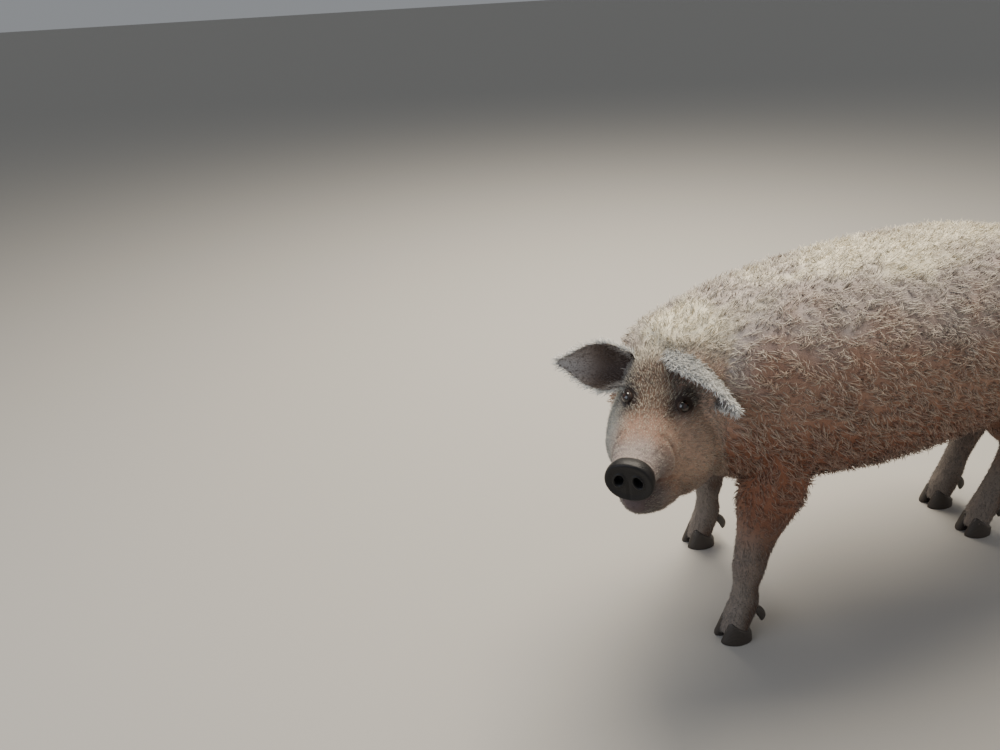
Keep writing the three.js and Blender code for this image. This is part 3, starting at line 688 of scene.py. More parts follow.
def face_relief(h):
    """How far the skin stands out over its smooth form, in millimetres."""
    relief = lip_relief(h) + wrinkle_relief(h) + fold_relief(h)
    for side in (-1, 1):
        centre, _ = eye_place(side)
        brow, pouch, corner = np.array([[-10, side * 2, 22], [8, side * 8, -22], [24, -side * 12, -6]])
        relief += 4.0 * bump_near(h, centre + brow, (24, 18, 12))
        relief += 2.5 * bump_near(h, centre + pouch, (26, 14, 10))
        relief -= 5.0 * bump_near(h, centre + corner, (18, 14, 16))
    return relief


def eye_axes(side):
    """An eye's look, the line along its slit and the way up across it, in the head's axes."""
    mirror = np.array([1, side, 1])
    look = unit(np.array(EYE_LOOK) * mirror)
    line = np.array(EYE_SLIT_LINE) * mirror
    along = unit(line - look * np.dot(look, line))
    return look, along, np.cross(look, along) * side


def lids(h):
    """Draws the skin into two lids over each eyeball."""
    for side in (-1, 1):
        centre, _ = eye_place(side)
        look, along, across = eye_axes(side)
        if across[2] < 0:
            across = -across
        d = h - centre
        distance = np.linalg.norm(d, axis=1)
        facing = d @ look / np.maximum(distance, 1e-6)
        a, b = d @ along, d @ across
        opening = (a / EYE_OPEN["half_length"]) ** 2
        opening += np.where(b > 0, b / EYE_OPEN["above"], b / EYE_OPEN["below"]) ** 2
        open_share = smooth_step(1.12, 0.86, opening) * (facing > 0.35)
        rim = ridge(opening - 1.35, 0.35)
        target = np.where(facing > -0.2, EYE_RADIUS + LID_THICKNESS + 1.3 * rim, distance)
        target = target * (1 - open_share) + (EYE_RADIUS - 3.5) * open_share
        near = smooth_step(27, 19, distance) * smooth_step(-0.2, 0.25, facing)
        moved = distance * (1 - near) + target * near
        h = centre + d * (moved / np.maximum(distance, 1e-6))[:, None]
    return h


def make_skin():
    skin = fused_skin()
    refine(skin, from_head(FACE_MIDDLE), 190)
    refine(skin, from_head(MUZZLE_MIDDLE), 88)
    for side in (-1, 1):
        eye = from_head(eye_place(side)[0])
        refine(skin, eye, 38)
        refine(skin, eye, 27)
    skin.data.update()
    points = points_of(skin.data) / MM - CENTRING
    normals = normals_of(skin.data)
    h = to_head(points)
    in_face = head_share(points) > 0.02
    relief = face_relief(h[in_face])
    h[in_face] += (normals[in_face] @ HEAD_AXES) * relief[:, None]
    h[in_face] = lids(h[in_face])
    points[in_face] = from_head(h[in_face])
    skin.data.vertices.foreach_set("co", to_scene(points).ravel())
    skin.data.update()
    paint(skin.data, marking(points, normals_of(skin.data)))
    skin.data.materials.append(HIDE)
    skin.data.polygons.foreach_set("use_smooth", [True] * len(skin.data.polygons))
    return skin


# Ears, eyes, snout and claws


def ear_frame(ear):
    along = unit(np.array(ear["out"], float))
    inside = unit(np.cross(along, np.array(ear["wide"], float)))
    return along, inside, np.cross(inside, along)


def ear_point(ear, u, v, lift):
    """A place on an ear, u from root to tip and v from the back edge to the front one."""
    along, inside, across = ear_frame(ear)
    last = len(EAR_OUTLINE) - 1
    share = row_at(EAR_OUTLINE, (u - EAR_ROOT) / (1 - EAR_ROOT) * last)[..., 0]
    half = share * EAR_WIDTH / 2
    cup = ear["cup"] * half * (1.5 - u)
    ripple = 2.2 * np.sin(5.0 * u + 2.0 * v) * np.abs(v) ** 2
    centre = np.array(ear["root"], float) + along * (u * EAR_LENGTH)[..., None]
    centre = centre - UP * (ear["droop"] * u * u * EAR_LENGTH)[..., None]
    return (centre + across * (v * half)[..., None]
            + inside * (cup * v * v + lift + ripple)[..., None])


def make_ear(name, ear):
    rows, columns = 40, 21
    u = np.linspace(EAR_ROOT, 0.995, rows)[:, None] + np.zeros((1, columns))
    v = np.sin(np.linspace(-math.pi / 2, math.pi / 2, columns))[None] + np.zeros((rows, 1))
    thick = EAR_THICKNESS / 2 * (1 - 0.45 * np.abs(v) ** 3) * (1 - 0.4 * u)
    inner, outer = ear_point(ear, u, v, thick), ear_point(ear, u, v, -thick)
    grid = np.concatenate([inner, outer[:, ::-1]], axis=1)
    points, faces = closed_loft(from_head(grid))
    shell = mesh_object(f"ear_{name}_shell", to_scene(points), faces, HIDE)
    is_inner = np.concatenate([np.ones((rows, columns)), np.zeros((rows, columns))], axis=1).ravel()
    to_tip = np.concatenate([u, u], axis=1).ravel()
    paint(shell.data, layered(
        EAR_WHITE,
        # The cup: brown hair, darkening towards the root with painted shade deep inside the ear.
        (EAR_INSIDE, is_inner * (0.65 + 0.35 * smooth_step(1.0, 0.1, to_tip))),
        (EYE_SHADE, 0.8 * is_inner * smooth_step(0.55, 0.1, to_tip)),
    ))
    return shell


IRIS = dict(pupil=0.4, edge=0.67, white=1.15)  # radians from the middle of the look
CORNEA_RISE = 1.1


def make_eye(side):
    """An eyeball with a raised cornea, in rings round the way it looks."""
    centre, _ = eye_place(side)
    look, along, across = eye_axes(side)
    rings, sides = 60, 48
    polar = np.linspace(0, math.pi, rings)[:, None]
    turn = (np.arange(sides) * 2 * math.pi / sides)[None]
    radius = EYE_RADIUS - 0.6 + CORNEA_RISE * smooth_step(0.62, 0.0, polar)
    grid = centre + (radius * np.cos(polar) + 0 * turn)[..., None] * look
    grid = grid + (radius * np.sin(polar) * np.cos(turn))[..., None] * along
    grid = grid + (radius * np.sin(polar) * np.sin(turn))[..., None] * across
    points, faces = closed_loft(from_head(grid))
    eye = mesh_object(f"eyeball_{side}".replace("-", "r"), to_scene(points), faces, EYE_WET)
    turned = np.repeat(polar, sides, 1).ravel()
    narrow = turned * (1 + 0.4 * np.repeat(np.abs(np.sin(turn)), rings, 0).ravel())
    paint(eye.data, layered(
        IRIS_BROWN,
        (PUPIL_BLACK, smooth_step(IRIS["pupil"] + 0.04, IRIS["pupil"] - 0.04, narrow)),
        (IRIS_EDGE, smooth_step(IRIS["edge"] - 0.05, IRIS["edge"] + 0.05, turned)),
        (EYE_WHITE, 0.8 * smooth_step(IRIS["white"] - 0.1, IRIS["white"] + 0.1, turned)),
    ))
    return eye


SNOUT_RIM = np.array([
    [170, 0, -45, 35, 38, 40, 39, 36],
    [177, 0, -45, 37.5, 40.5, 42.5, 41.5, 38.5],
    [183, 0, -45, 39.3, 42.3, 44.3, 43.3, 40.3],
    [189, 0, -45, 39.6, 42.6, 44.6, 43.6, 40.6],
    [194, 0, -45, 39, 42, 44, 43, 40],
    [196.8, 0, -45, 37.4, 40.4, 42.4, 41.4, 38.4],
    [197.6, 0, -45, 35.5, 38.5, 40.5, 39.5, 36.5],
], float)
SNOUT_MIDDLE = np.array([197.0, 0, -44.0])
NOSTRIL = dict(y=17, z=-43, slant=0.35, half_width=7.5, half_height=11, deep=15)


def nostril_dip(y, z, side):
    """How far one nostril and its raised rim take the snout's face back."""
    out, up = y - side * NOSTRIL["y"], z - NOSTRIL["z"]
    lean, stand = math.sin(NOSTRIL["slant"]), math.cos(NOSTRIL["slant"])
    across = (out * stand + side * up * lean) / NOSTRIL["half_width"]
    along = (up * stand - side * out * lean) / NOSTRIL["half_height"]
    hole = across**2 + along**2
    return NOSTRIL["deep"] * smooth_step(1.15, 0.45, hole) - 1.6 * ridge(hole - 1.6, 0.5)


def make_snout():
    """The disc: a rolled rim, then a face that dips to two slanted nostrils."""
    rim = limb_grid(SNOUT_RIM, up_to(6, 0.25), 120, UP, lambda _: 0)
    shares = np.linspace(1, 0.02, 44)[1:, None, None]
    face = SNOUT_MIDDLE + (rim[-1] - SNOUT_MIDDLE) * shares
    y, z = face[..., 1], face[..., 2]
    dip = 1.6 * smooth_step(1.0, 0.7, shares[..., 0])
    groove = 1.3 * ridge(y, 3.0) * smooth_step(-30, -55, z)
    face[..., 0] -= dip + nostril_dip(y, z, -1) + nostril_dip(y, z, 1) + groove
    grid = np.concatenate([rim, face], axis=0)
    points, faces = closed_loft(from_head(grid))
    return mesh_object("snout", to_scene(points), faces, SNOUT)


# A claw in plan: forward of the foot's centre, then out from the cleft.
CLAW_SOLE = np.array([
    [-22, 2], [12, 2], [36, 3.5], [50, 11], [43, 25], [20, 36], [-10, 35], [-24, 20],
], float)
# Rings of a claw: share of its height, then size beside the sole's outline.
CLAW_RINGS = [
    (0, 0.9), (0, 0.97), (0.06, 1), (0.25, 1.005), (0.5, 1), (0.75, 0.99), (1, 1), (1.12, 0.94),
]
CLAW_TOP = dict(height=60, forward=0.62, across=0.86)
CORONET = dict(front=47, front_height=48, back=-19, back_height=20)
# Dew claws, from the leg down: back from the foot's centre, height, radius.
DEW_CLAW = [(22, 82, 8), (34, 72, 10), (44, 56, 9), (47, 42, 5), (47, 37, 2)]
DEW_CLAW_APART = 17


def closed_curve(corners, count):
    """A smooth loop through a few corners."""
    padded = np.vstack([corners[-1:], corners, corners[:2]])
    t = np.arange(count) * len(corners) / count
    i = t.astype(int)
    return between(*(padded[i + k] for k in range(4)), (t - i)[:, None])


def make_claw(name, foot, side):
    """One claw: a worn sole, a wall that leans back to the coronet and a rounded edge."""
    outline = closed_curve(CLAW_SOLE, 48)
    middle = outline.mean(0)
    slope = (CORONET["front_height"] - CORONET["back_height"]) / (CORONET["front"] - CORONET["back"])
    coronet = CORONET["back_height"] + (outline[:, 0] - CORONET["back"]) * slope
    rings = []
    for share, size in CLAW_RINGS:
        height = share * coronet
        lean = height / CLAW_TOP["height"]
        place = middle + (outline - middle) * size
        forward = place[:, 0] * (1 + (CLAW_TOP["forward"] - 1) * lean)
        across = place[:, 1] * (1 + (CLAW_TOP["across"] - 1) * lean)
        ring = np.stack([foot["x"] - forward, foot["y"] + side * across, height], -1)
        rings.append(ring if side > 0 else ring[::-1])
    points, faces = closed_loft(np.array(rings))
    return mesh_object(name, to_scene(points), faces, HORN)


def make_dew_claw(name, foot, side):
    rows = np.array([[foot["x"] + back, foot["y"] + side * DEW_CLAW_APART, z, r, r, r, r, r]
                     for back, z, r in DEW_CLAW], float)
    points, faces = closed_loft(limb_grid(rows, up_to(4, 0.2), 20, FORWARD, lambda _: 0))
    return mesh_object(name, to_scene(points), faces, HORN)


# Coat

FLEECE_SPACE = 34.0  # square millimetres of hide to a tuft
FACE_HAIR_SPACE, LEG_HAIR_SPACE, EAR_HAIR_SPACE = 6.0, 11.0, 9.0
LOCK_GAP = 19.0  # between the middles of the fleece's locks
LOCK_SWAY, LOCK_CURL = 0.55, 1.7  # radians, how much locks differ from each other
FLEECE_LENGTH = dict(trunk=21, less_on_leg=11, less_low=3, less_on_shank=3)
STRAY_SHARE = 0.07  # of the fleece's tufts, standing out of their locks
ROOT_IN_SKIN = 1.2
STRAND_SHAPE = dict(root=0.42, body=0.5, tapers_by=0.6, thick=0.9)
MOST_TUFTS, MOST_SHORT_HAIRS = 9000, 20000  # in one piece of coat
CHART_PATCH = (0.001, 0.003)  # size of a strand's place in the bake map
HAIR_CLEARS_EYE, HAIR_CLEARS_SNOUT, HAIR_CLEARS_SOLE = 18, 172, 24


class Roots:
    """Places on the skin where tufts grow."""

    def __init__(self, mesh, density, seed):
        rng = np.random.default_rng(seed)
        mesh.calc_loop_triangles()
        corners = np.empty(len(mesh.loop_triangles) * 3, np.int64)
        mesh.loop_triangles.foreach_get("vertices", corners)
        corners = corners.reshape(-1, 3)
        points = points_of(mesh) / MM - CENTRING
        normals = normals_of(mesh)
        a, b, c = (points[corners[:, k]] for k in range(3))
        area = np.linalg.norm(np.cross(b - a, c - a), axis=1) / 2
        wanted = area * density((a + b + c) / 3, unit(np.cross(b - a, c - a)))
        count = int(wanted.sum())
        chosen = rng.choice(len(corners), count, p=wanted / wanted.sum())
        s, t = rng.random((2, count))
        over = s + t > 1
        s[over], t[over] = 1 - s[over], 1 - t[over]
        w = np.stack([1 - s - t, s, t], -1)[..., None]
        self.at = (points[corners[chosen]] * w).sum(1)
        self.outward = unit((normals[corners[chosen]] * w).sum(1))
        self.rng = rng
        self.count = count

    def evenly(self, low, high):
        """A draw for each tuft, evenly from low to high."""
        return self.rng.uniform(low, high, self.count)

    def about(self, middle, spread):
        """A draw for each tuft, round a middle."""
        return self.rng.normal(middle, spread, self.count)


def along_skin(lie, outward):
    return unit(lie - outward * (lie * outward).sum(1, keepdims=True))


def trunk_lie(points):
    """Back along the body and down its sides."""
    side = np.clip(np.abs(points[:, 1]) / 200, 0, 1)
    return np.stack([np.ones(len(points)), 0 * side, -0.75 * side], -1)


def face_lie(points):
    """From the snout back over the face, parting round the eyes and running down the cheeks."""
    h = to_head(points)
    across = np.abs(h[:, 1])
    out = 0.45 * np.sign(h[:, 1]) * smooth_step(0, 60, across)
    down = -0.5 * smooth_step(20, 80, across) * smooth_step(10, -60, h[:, 2])
    return np.stack([-np.ones(len(h)), out, down], -1) @ HEAD_AXES.T


def coat_lie(points, outward):
    leg = leg_share(points)[:, None]
    face = head_share(points)[:, None]
    lie = trunk_lie(points) * (1 - leg) + np.array([0.25, 0, -1.0]) * leg
    lie = unit(lie) * (1 - face) + unit(face_lie(points)) * face
    return along_skin(lie, outward)


def strands(roots, outward, lie, form):
    """Tapered three-sided strands that rise off the skin, bend along it and curl to one side.
    Returns points (strand, place along, corner) with the tip last."""
    across = np.cross(outward, lie)
    steps = form["steps"]
    place = roots - outward * ROOT_IN_SKIN
    rings = []
    for k in range(steps):
        share = k / steps
        tilt = form["rise"] * (1 - share) + form["end"] * share
        heading = form["curl"] * share
        flat = np.cos(heading)[:, None] * lie + np.sin(heading)[:, None] * across
        ahead = np.cos(tilt)[:, None] * flat + np.sin(tilt)[:, None] * outward
        sideways = unit(np.cross(outward, flat))
        below = -STRAND_SHAPE["thick"] * unit(np.cross(ahead, sideways))
        stout = STRAND_SHAPE["root" if k == 0 else "body"] * (1 - STRAND_SHAPE["tapers_by"] * share**1.5)
        half = (form["width"] * stout)[:, None]
        rings.append(np.stack([place + way * half for way in (-sideways, below, sideways)], 1))
        place = place + ahead * (form["length"] / steps)[:, None]
    return np.stack(rings, 1), place


def strand_faces(rings):
    """The corners of one strand's faces in a row, and how many each face has: its sides, then its tip."""
    corners, sizes = [], []
    for k in range(rings):
        for j in range(3):
            low, low_next = k * 3 + j, k * 3 + (j + 1) % 3
            is_tip = k == rings - 1
            corners += [low, low_next, rings * 3] if is_tip else [low, low_next, low_next + 3, low + 3]
            sizes.append(3 if is_tip else 4)
    return np.array(corners), np.array(sizes)


def strand_mesh(name, points, strand, sizes):
    """A mesh of many like strands: points is (strand, place in it), strand and sizes its faces."""
    count, each = points.shape[:2]
    corners = (np.arange(count) * each)[:, None] + strand
    sizes = np.tile(sizes, count)
    mesh = bpy.data.meshes.new(name)
    mesh.vertices.add(count * each)
    mesh.vertices.foreach_set("co", to_scene(points.reshape(-1, 3)).ravel())
    mesh.loops.add(corners.size)
    mesh.loops.foreach_set("vertex_index", corners.ravel())
    mesh.polygons.add(len(sizes))
    mesh.polygons.foreach_set("loop_start", np.concatenate([[0], np.cumsum(sizes)[:-1]]))
    mesh.polygons.foreach_set("use_smooth", [True] * len(sizes))
    mesh.update(calc_edges=True)
    return mesh


def coat_mesh(name, roots, outward, lie, form, colours, chart, material, bleach):
    """All the strands of one piece of coat as one mesh, with each strand's patch in the bake map."""
    body, tip = strands(roots, outward, lie, form)
    count, rings = body.shape[:2]
    points = np.concatenate([body.reshape(count, -1, 3), tip[:, None]], 1)
    strand, sizes = strand_faces(rings)
    mesh = strand_mesh(name, points, strand, sizes)
    patch = np.stack([strand % 3 - 1, strand // 3 / rings - 0.5], -1) * CHART_PATCH
    uv = mesh.uv_layers.new(name="OFBake")
    uv.data.foreach_set("uv", (chart[:, None] + patch).ravel())
    along = np.concatenate([np.repeat(np.arange(rings) / rings, 3), [1.0]])[None, :, None]
    bleached = mix(colours, CREAM, bleach * smooth_step(200, 650, roots[:, 2]))[:, None]
    strand_colours = colours[:, None] * (1 - along) + bleached * along
    # Painted shade and light: each strand darker at its root, deep in the coat, and lighter towards its
    # lit tip.
    paint(mesh, (strand_colours * (0.7 + 0.4 * along)).reshape(-1, 3))
    mesh.materials.append(material)
    return add_object(name, mesh)


def turn_share(a, b):
    """A direction's share of a full turn."""
    return np.arctan2(a, b) / (2 * math.pi) + 0.5


def chart_place(points):
    """The skin's own unwrap: a strip round the trunk, one round the head and one round each leg."""
    x, y, z = points.T
    chart = np.stack([0.02 + 0.96 * (x + 640) / 1280, 0.02 + 0.45 * turn_share(y, z - 575)], -1)
    for k, foot in enumerate(FEET.values()):
        near = (leg_share(points) > 0.5) & (np.hypot(x - foot["x"], y - foot["y"]) < 170)
        turn = turn_share(y - foot["y"], x - foot["x"])
        strip = np.stack([0.52 + 0.12 * k + 0.11 * turn, 0.5 + 0.23 * np.clip(z / 430, 0, 1)], -1)
        chart[near] = strip[near]
    h = to_head(points)
    turn = turn_share(h[:, 1], h[:, 2] + 40)
    strip = np.stack([0.02 + 0.46 * (h[:, 0] + 100) / 280, 0.5 + 0.23 * turn], -1)
    on_face = head_share(points) > 0.5
    chart[on_face] = strip[on_face]
    return np.clip(chart, 0.004, 0.996)


def gathered(roots, lie, length, share, seed):
    """Turns the lie of each strand towards the tip of the lock it belongs to."""
    rng = np.random.default_rng(seed)
    lock_area = LOCK_GAP * LOCK_GAP * 0.8
    count = int(roots.count * FLEECE_SPACE / lock_area)
    middles = rng.choice(roots.count, count, replace=False)
    tree = kdtree.KDTree(count)
    for index, middle in enumerate(middles):
        tree.insert(roots.at[middle], index)
    tree.balance()
    nearest = np.array([tree.find(place)[1] for place in roots.at])
    sway = rng.normal(0, LOCK_SWAY, count)[nearest]
    across = np.cross(roots.outward, lie)
    swung = unit(lie + across * sway[:, None])
    tips = roots.at[middles[nearest]] + swung * (length * 0.8)[:, None]
    towards = along_skin(tips - roots.at, roots.outward)
    return along_skin(swung * (1 - share) + towards * share, roots.outward), nearest


def body_coat(skin):
    """The fleece: thin curled tufts gathered into locks, longest on the trunk, shorter low and on
    the legs."""

    def density(points, _):
        bare = 1 - smooth_step(0.3, 0.75, head_share(points))
        leg = leg_share(points)
        return bare * (1 + 0.4 * leg) * smooth_step(190, 260, points[:, 2]) / FLEECE_SPACE

    roots = Roots(skin.data, density, SEED)
    rng = roots.rng
    leg = leg_share(roots.at)
    height = roots.at[:, 2]
    length = FLEECE_LENGTH["trunk"] - FLEECE_LENGTH["less_on_leg"] * leg
    length = length - FLEECE_LENGTH["less_low"] * smooth_step(480, 360, height)
    length = length - FLEECE_LENGTH["less_on_shank"] * smooth_step(320, 200, height)
    length = length * roots.evenly(0.7, 1.3)
    lie = coat_lie(roots.at, roots.outward)
    lie, lock = gathered(roots, lie, length, 0.6, SEED + 1)
    wild = rng.random(roots.count) < STRAY_SHARE
    lock_curl = np.random.default_rng(SEED + 2).normal(0, LOCK_CURL, lock.max() + 1)[lock]
    form = dict(
        steps=3,
        length=length * np.where(wild, 1.15, 1),
        width=roots.evenly(1.5, 2.7) * (1 - 0.3 * leg),
        rise=np.radians(roots.evenly(28, 68)) * (1 - 0.65 * leg),
        end=np.radians(roots.about(-4, 20) + 24 * wild) * (1 - 0.5 * leg),
        curl=(lock_curl + roots.about(0, 0.9)) * (1 - 0.5 * leg),
    )
    colours = marking(roots.at, roots.outward)
    lights = 0.86 + 0.3 * rng.random((roots.count, 1)) + 0.1 * (patches(roots.at, 22, 5)[:, None] - 0.5)
    pale = 0.35 * (rng.random(roots.count) < 0.25) * smooth_step(250, 650, height)
    colours = mix(colours, CREAM, pale) * lights
    return split_coat("fleece", roots, lie, form, colours, WOOL, MOST_TUFTS, 0.3)


def split_coat(slot, roots, lie, form, colours, material, most, bleach):
    """Cuts a coat along the body into pieces small enough to export, named after their slot."""
    chart = chart_place(roots.at)
    order = np.argsort(roots.at[:, 0], kind="stable")
    pieces = []
    for part in np.array_split(order, max(1, math.ceil(roots.count / most))):
        here = {key: value if key == "steps" else value[part] for key, value in form.items()}
        piece = coat_mesh(f"{slot}_{len(pieces) + 1}", roots.at[part], roots.outward[part],
                          lie[part], here, colours[part], chart[part], material, bleach)
        pieces.append(piece)
    return pieces


def face_coat(skin):
    """Short hair on the face, finest on the muzzle and round the eyes."""
    eyes = [eye_place(side)[0] for side in (-1, 1)]

    def density(points, _):
        share = smooth_step(0.15, 0.5, head_share(points))
        h = to_head(points)
        gap = np.abs(mouth_offset(h))
        lips = smooth_step(4, 12, gap) + (h[:, 0] < 80)
        off_eye = np.min([np.linalg.norm(h - eye, axis=1) for eye in eyes], axis=0) > HAIR_CLEARS_EYE
        return share * np.clip(lips, 0, 1) * off_eye * (h[:, 0] < HAIR_CLEARS_SNOUT) / FACE_HAIR_SPACE

    roots = Roots(skin.data, density, SEED + 5)
    rng = roots.rng
    h = to_head(roots.at)
    back = smooth_step(130, -70, h[:, 0])
    jowl = smooth_step(-90, -170, h[:, 2])
    length = 5 + 6 * back + 5 * jowl + 6 * smooth_step(-40, -90, h[:, 0])
    length = length * roots.evenly(0.7, 1.3)
    lie = coat_lie(roots.at, roots.outward)
    across = np.cross(roots.outward, lie)
    lie = unit(lie + across * rng.normal(0, 0.28, (roots.count, 1)))
    form = dict(
        steps=2,
        length=length,
        width=roots.evenly(0.8, 1.2) + 0.4 * back,
        rise=np.radians(roots.evenly(18, 46)),
        end=np.radians(roots.about(4, 10)),
        curl=roots.about(0, 0.25),
    )
    colours = marking(roots.at, roots.outward)
    dark = rng.random(roots.count) < 0.12
    colours = mix(colours, CREAM, 0.45 * (rng.random(roots.count) < 0.3))
    colours = mix(colours, EYE_SHADE, 0.55 * dark) * rng.uniform(0.8, 1.2, (roots.count, 1))
    return split_coat("face_hair", roots, lie, form, colours, SHORT_HAIR, MOST_SHORT_HAIRS, 0.2)


def leg_coat(skin):
    """Short straight hair down the shanks to the coronets."""

    def density(points, _):
        height = points[:, 2]
        on_leg = (height > HAIR_CLEARS_SOLE) * (head_share(points) < 0.1)
        return smooth_step(300, 230, height) * on_leg / LEG_HAIR_SPACE

    roots = Roots(skin.data, density, SEED + 7)
    rng = roots.rng
    down = np.array([0.2, 0, -1.0]) + rng.normal(0, 0.16, (roots.count, 3))
    lie = along_skin(down, roots.outward)
    form = dict(
        steps=2,
        length=(9 + 4 * smooth_step(150, 262, roots.at[:, 2])) * roots.evenly(0.7, 1.3),
        width=roots.evenly(1.0, 1.6),
        rise=np.radians(roots.evenly(14, 36)),
        end=np.radians(roots.about(0, 6)),
        curl=roots.about(0, 0.3),
    )
    colours = marking(roots.at, roots.outward) * rng.uniform(0.6, 1.35, (roots.count, 1))
    return split_coat("leg_hair", roots, lie, form, colours, SHORT_HAIR, MOST_SHORT_HAIRS, 0.15)


def ear_coat(name, ear, shell):
    """Woolly outside and rim, thin hair in the cup."""
    along, inside, across = ear_frame(ear)
    outer_side = unit(-inside @ HEAD_AXES.T)
    edge_way = across @ HEAD_AXES.T

    def density(_, facing):
        return (1 + 2 * (np.abs(facing @ edge_way) > 0.75)) / EAR_HAIR_SPACE

    roots = Roots(shell.data, density, SEED + 9)
    rng = roots.rng
    woolly = smooth_step(-0.75, -0.25, roots.outward @ outer_side)
    rim = np.abs(roots.outward @ edge_way)[:, None] ** 2
    lie = along @ HEAD_AXES.T + rng.normal(0, 0.4, (roots.count, 3))
    lie = along_skin(lie - 0.5 * rim * outer_side, roots.outward)
    form = dict(
        steps=3,
        length=(5 + 9 * woolly + 8 * rim[:, 0]) * roots.evenly(0.7, 1.3),
        width=0.9 + 0.8 * woolly,
        rise=np.radians(roots.evenly(18, 55)),
        end=np.radians(roots.about(0, 12)),
        curl=roots.about(0, 0.7),
    )
    colours = mix(EAR_INSIDE, EAR_WHITE, woolly)
    colours = colours * rng.uniform(0.85, 1.15, (roots.count, 1))
    chart = np.stack([0.06 + 0.4 * (name == "right") + 0.0005 * (roots.at[:, 0] - HEAD_AT[0]),
                      0.86 + 0.0004 * (roots.at[:, 1] - HEAD_AT[1])], -1)
    chart = np.clip(chart, 0.01, 0.99)
    hair = coat_mesh(f"ear_{name}_hair", roots.at, roots.outward, lie, form, colours, chart, WOOL, 0.05)
    return hair


# Pieces of the tail's coat: their rows of the tail, number of hairs, longest hair and material.
TAIL_COAT = {
    "tail_wool": dict(rows=(0.9, 5.2), count=2600, longest=22, material=WOOL),
    "tail_hair": dict(rows=(3.6, 7.4), count=1500, longest=165, material=SHORT_HAIR),
}
TAIL_CORE = 15.0  # thickest the tail itself gets inside its brush


def tail_coat():
    """Wool round the dock, then the long straight hair of the brush."""
    rng = np.random.default_rng(SEED + 11)
    pieces = []
    for name, piece in TAIL_COAT.items():
        count = piece["count"]
        t = rng.uniform(*piece["rows"], count)
        angle = rng.uniform(0, 2 * math.pi, count)
        centre, forward, left, up, row = axes_at(TAIL, t, FORWARD)
        outward = np.cos(angle)[:, None] * up + np.sin(angle)[:, None] * left
        radius = np.minimum(reach_at(row, angle), TAIL_CORE) - TAIL_HAIR
        at = centre + outward * radius[:, None]
        long = name == "tail_hair"
        length = piece["longest"] * rng.uniform(0.5, 1.05, count)
        if long:
            length = np.minimum(length, centre[:, 2] - TAIL[-1][2])
        form = dict(
            steps=8 if long else 4,
            length=np.maximum(length, 20),
            width=rng.uniform(1.6, 3.0, count),
            rise=np.radians(rng.uniform(6, 14, count) if long else rng.uniform(20, 45, count)),
            end=np.radians(rng.uniform(-12, -3, count) if long else rng.normal(0, 12, count)),
            curl=rng.normal(0, 0.35 if long else 0.8, count),
        )
        lie = along_skin(forward + rng.normal(0, 0.06, (count, 3)), outward)
        height = (650 - at[:, 2]) / 300
        colours = mix(CREAM, WOOL_TAN, smooth_step(-0.1, 0.9, height))
        colours = mix(colours, BELLY, 0.5 * (rng.random(count) < 0.4))
        colours = colours * rng.uniform(0.8, 1.15, (count, 1))
        chart = np.stack([0.06 + 0.4 * long + 0.05 * t, 0.93 + 0.008 * angle], -1)
        hair = coat_mesh(name, at, outward, lie, form, colours, chart, piece["material"], 0.3)
        pieces.append(hair)
    return pieces


# The animal

skin = make_skin()
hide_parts("rump", "barrel", "chest", "neck", "head", "lower_jaw", "thigh_left", "thigh_right",
            "shoulder_left", "shoulder_right", "tail_dock")
for leg in FEET:
    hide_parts(f"{leg}_upper_leg", f"{leg}_lower_leg")
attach(skin, "root")

animal = []
for name, ear in EARS.items():
    shell = make_ear(name, ear)
    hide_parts(f"ear_{name}")
    animal += [shell, ear_coat(name, ear, shell)]
for name, side in (("left", 1), ("right", -1)):
    eye = make_eye(side)
    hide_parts(f"eye_{name}")
    animal.append(eye)
snout = make_snout()
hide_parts("snout_disc")
animal.append(snout)
for leg, foot in FEET.items():
    for name, side in (("left", -1), ("right", 1)):
        for kind, make in (("claw", make_claw), ("dew_claw", make_dew_claw)):
            made = make(f"{leg}_{kind}_{name}_horn", foot, side)
            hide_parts(f"{leg}_{kind}_{name}")
            animal.append(made)
tail_wool, tail_hair = tail_coat()
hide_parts("tail_brush")
animal += [tail_wool, tail_hair]
animal += body_coat(skin) + face_coat(skin) + leg_coat(skin)
for piece in animal:
    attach(piece, "root")


# Studio

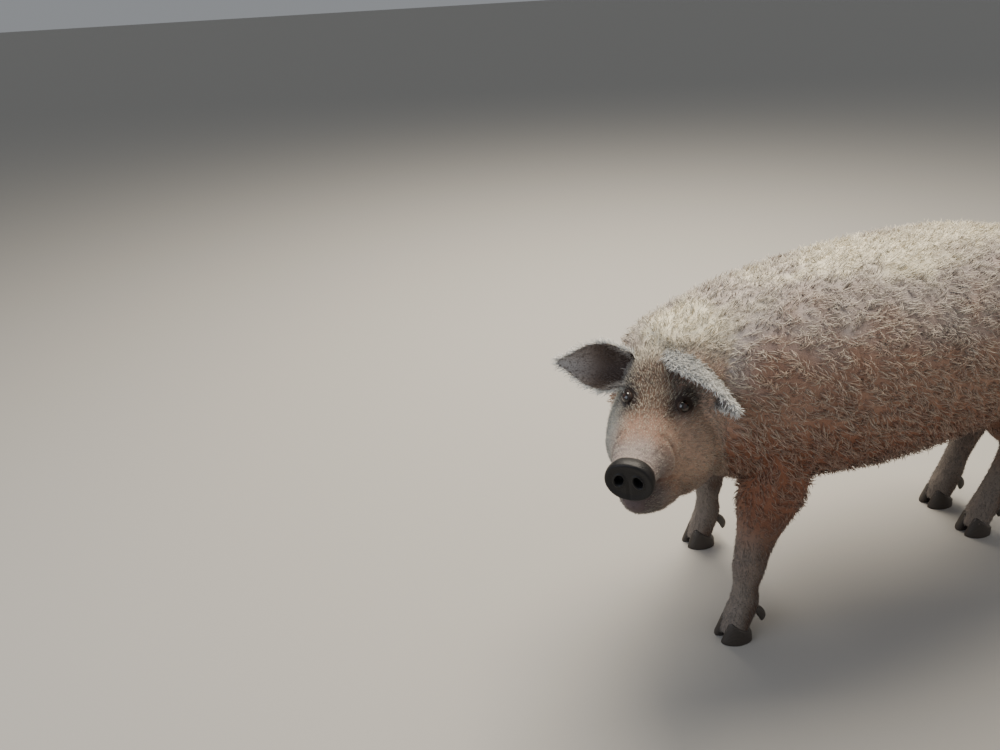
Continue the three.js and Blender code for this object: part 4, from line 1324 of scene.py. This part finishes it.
FLOOR_HALF = 30.0
BODY_MIDDLE = (0, 0, 0.5)
WORLD_LIGHT = 0.36
# Lights: where they stand, the side of their square, watts and colour.
LIGHTS = {
    "sky": ((0.5, 1.5, 3.5), 2.6, 300, "fff4e2"),
    "open_side": ((-3.4, -0.6, 1.9), 2.4, 42, "e8f0ff"),
    "far_side": ((2.6, -2.6, 1.8), 2.4, 15, "fff0e0"),
}

floor_corners = FLOOR_HALF * np.array([[-1, -1, 0], [1, -1, 0], [1, 1, 0], [-1, 1, 0]])
floor = mesh_object("studio_floor", floor_corners, [[0, 1, 2, 3]], floor_material())


def area_light(name, place, size, power, hex_colour):
    data = bpy.data.lights.new(name, "AREA")
    data.shape = "RECTANGLE"
    data.size = data.size_y = size
    data.energy = power
    data.color = linear(hex_colour)
    made = add_object(name, data)
    made.location = place
    made.rotation_euler = (Vector(BODY_MIDDLE) - Vector(place)).to_track_quat("-Z", "Y").to_euler()


for name, light in LIGHTS.items():
    area_light(name, *light)

world = bpy.data.worlds.new("studio")
world.use_nodes = True
background = world.node_tree.nodes["Background"]
background.inputs["Color"].default_value = (*linear("dfe3e8"), 1)
background.inputs["Strength"].default_value = WORLD_LIGHT
bpy.context.scene.world = world


def make_camera():
    """The photograph's camera, pitched down and a little rolled."""
    down = unit(np.array(WORLD_DOWN_IN_VIEW))
    ahead = unit(np.array([0, 0, 1.0]) - down * down[2])
    right = np.cross(down, ahead)
    heading = math.radians(CAMERA_HEADING)
    level_right = np.array([math.cos(heading), -math.sin(heading), 0])
    level_ahead = np.array([math.sin(heading), math.cos(heading), 0])
    world_axes = np.outer(right, level_right) + np.outer(ahead, level_ahead) - np.outer(down, UP)
    turn = Matrix((world_axes[0], -world_axes[1], -world_axes[2])).transposed()
    data = bpy.data.cameras.new("photo_camera")
    data.lens = CAMERA_LENS
    data.sensor_width = CAMERA_SENSOR
    camera = add_object("photo_camera", data)
    camera.matrix_world = Matrix.Translation(to_scene(np.array(CAMERA_AT))) @ turn.to_4x4()
    bpy.context.scene.camera = camera


make_camera()
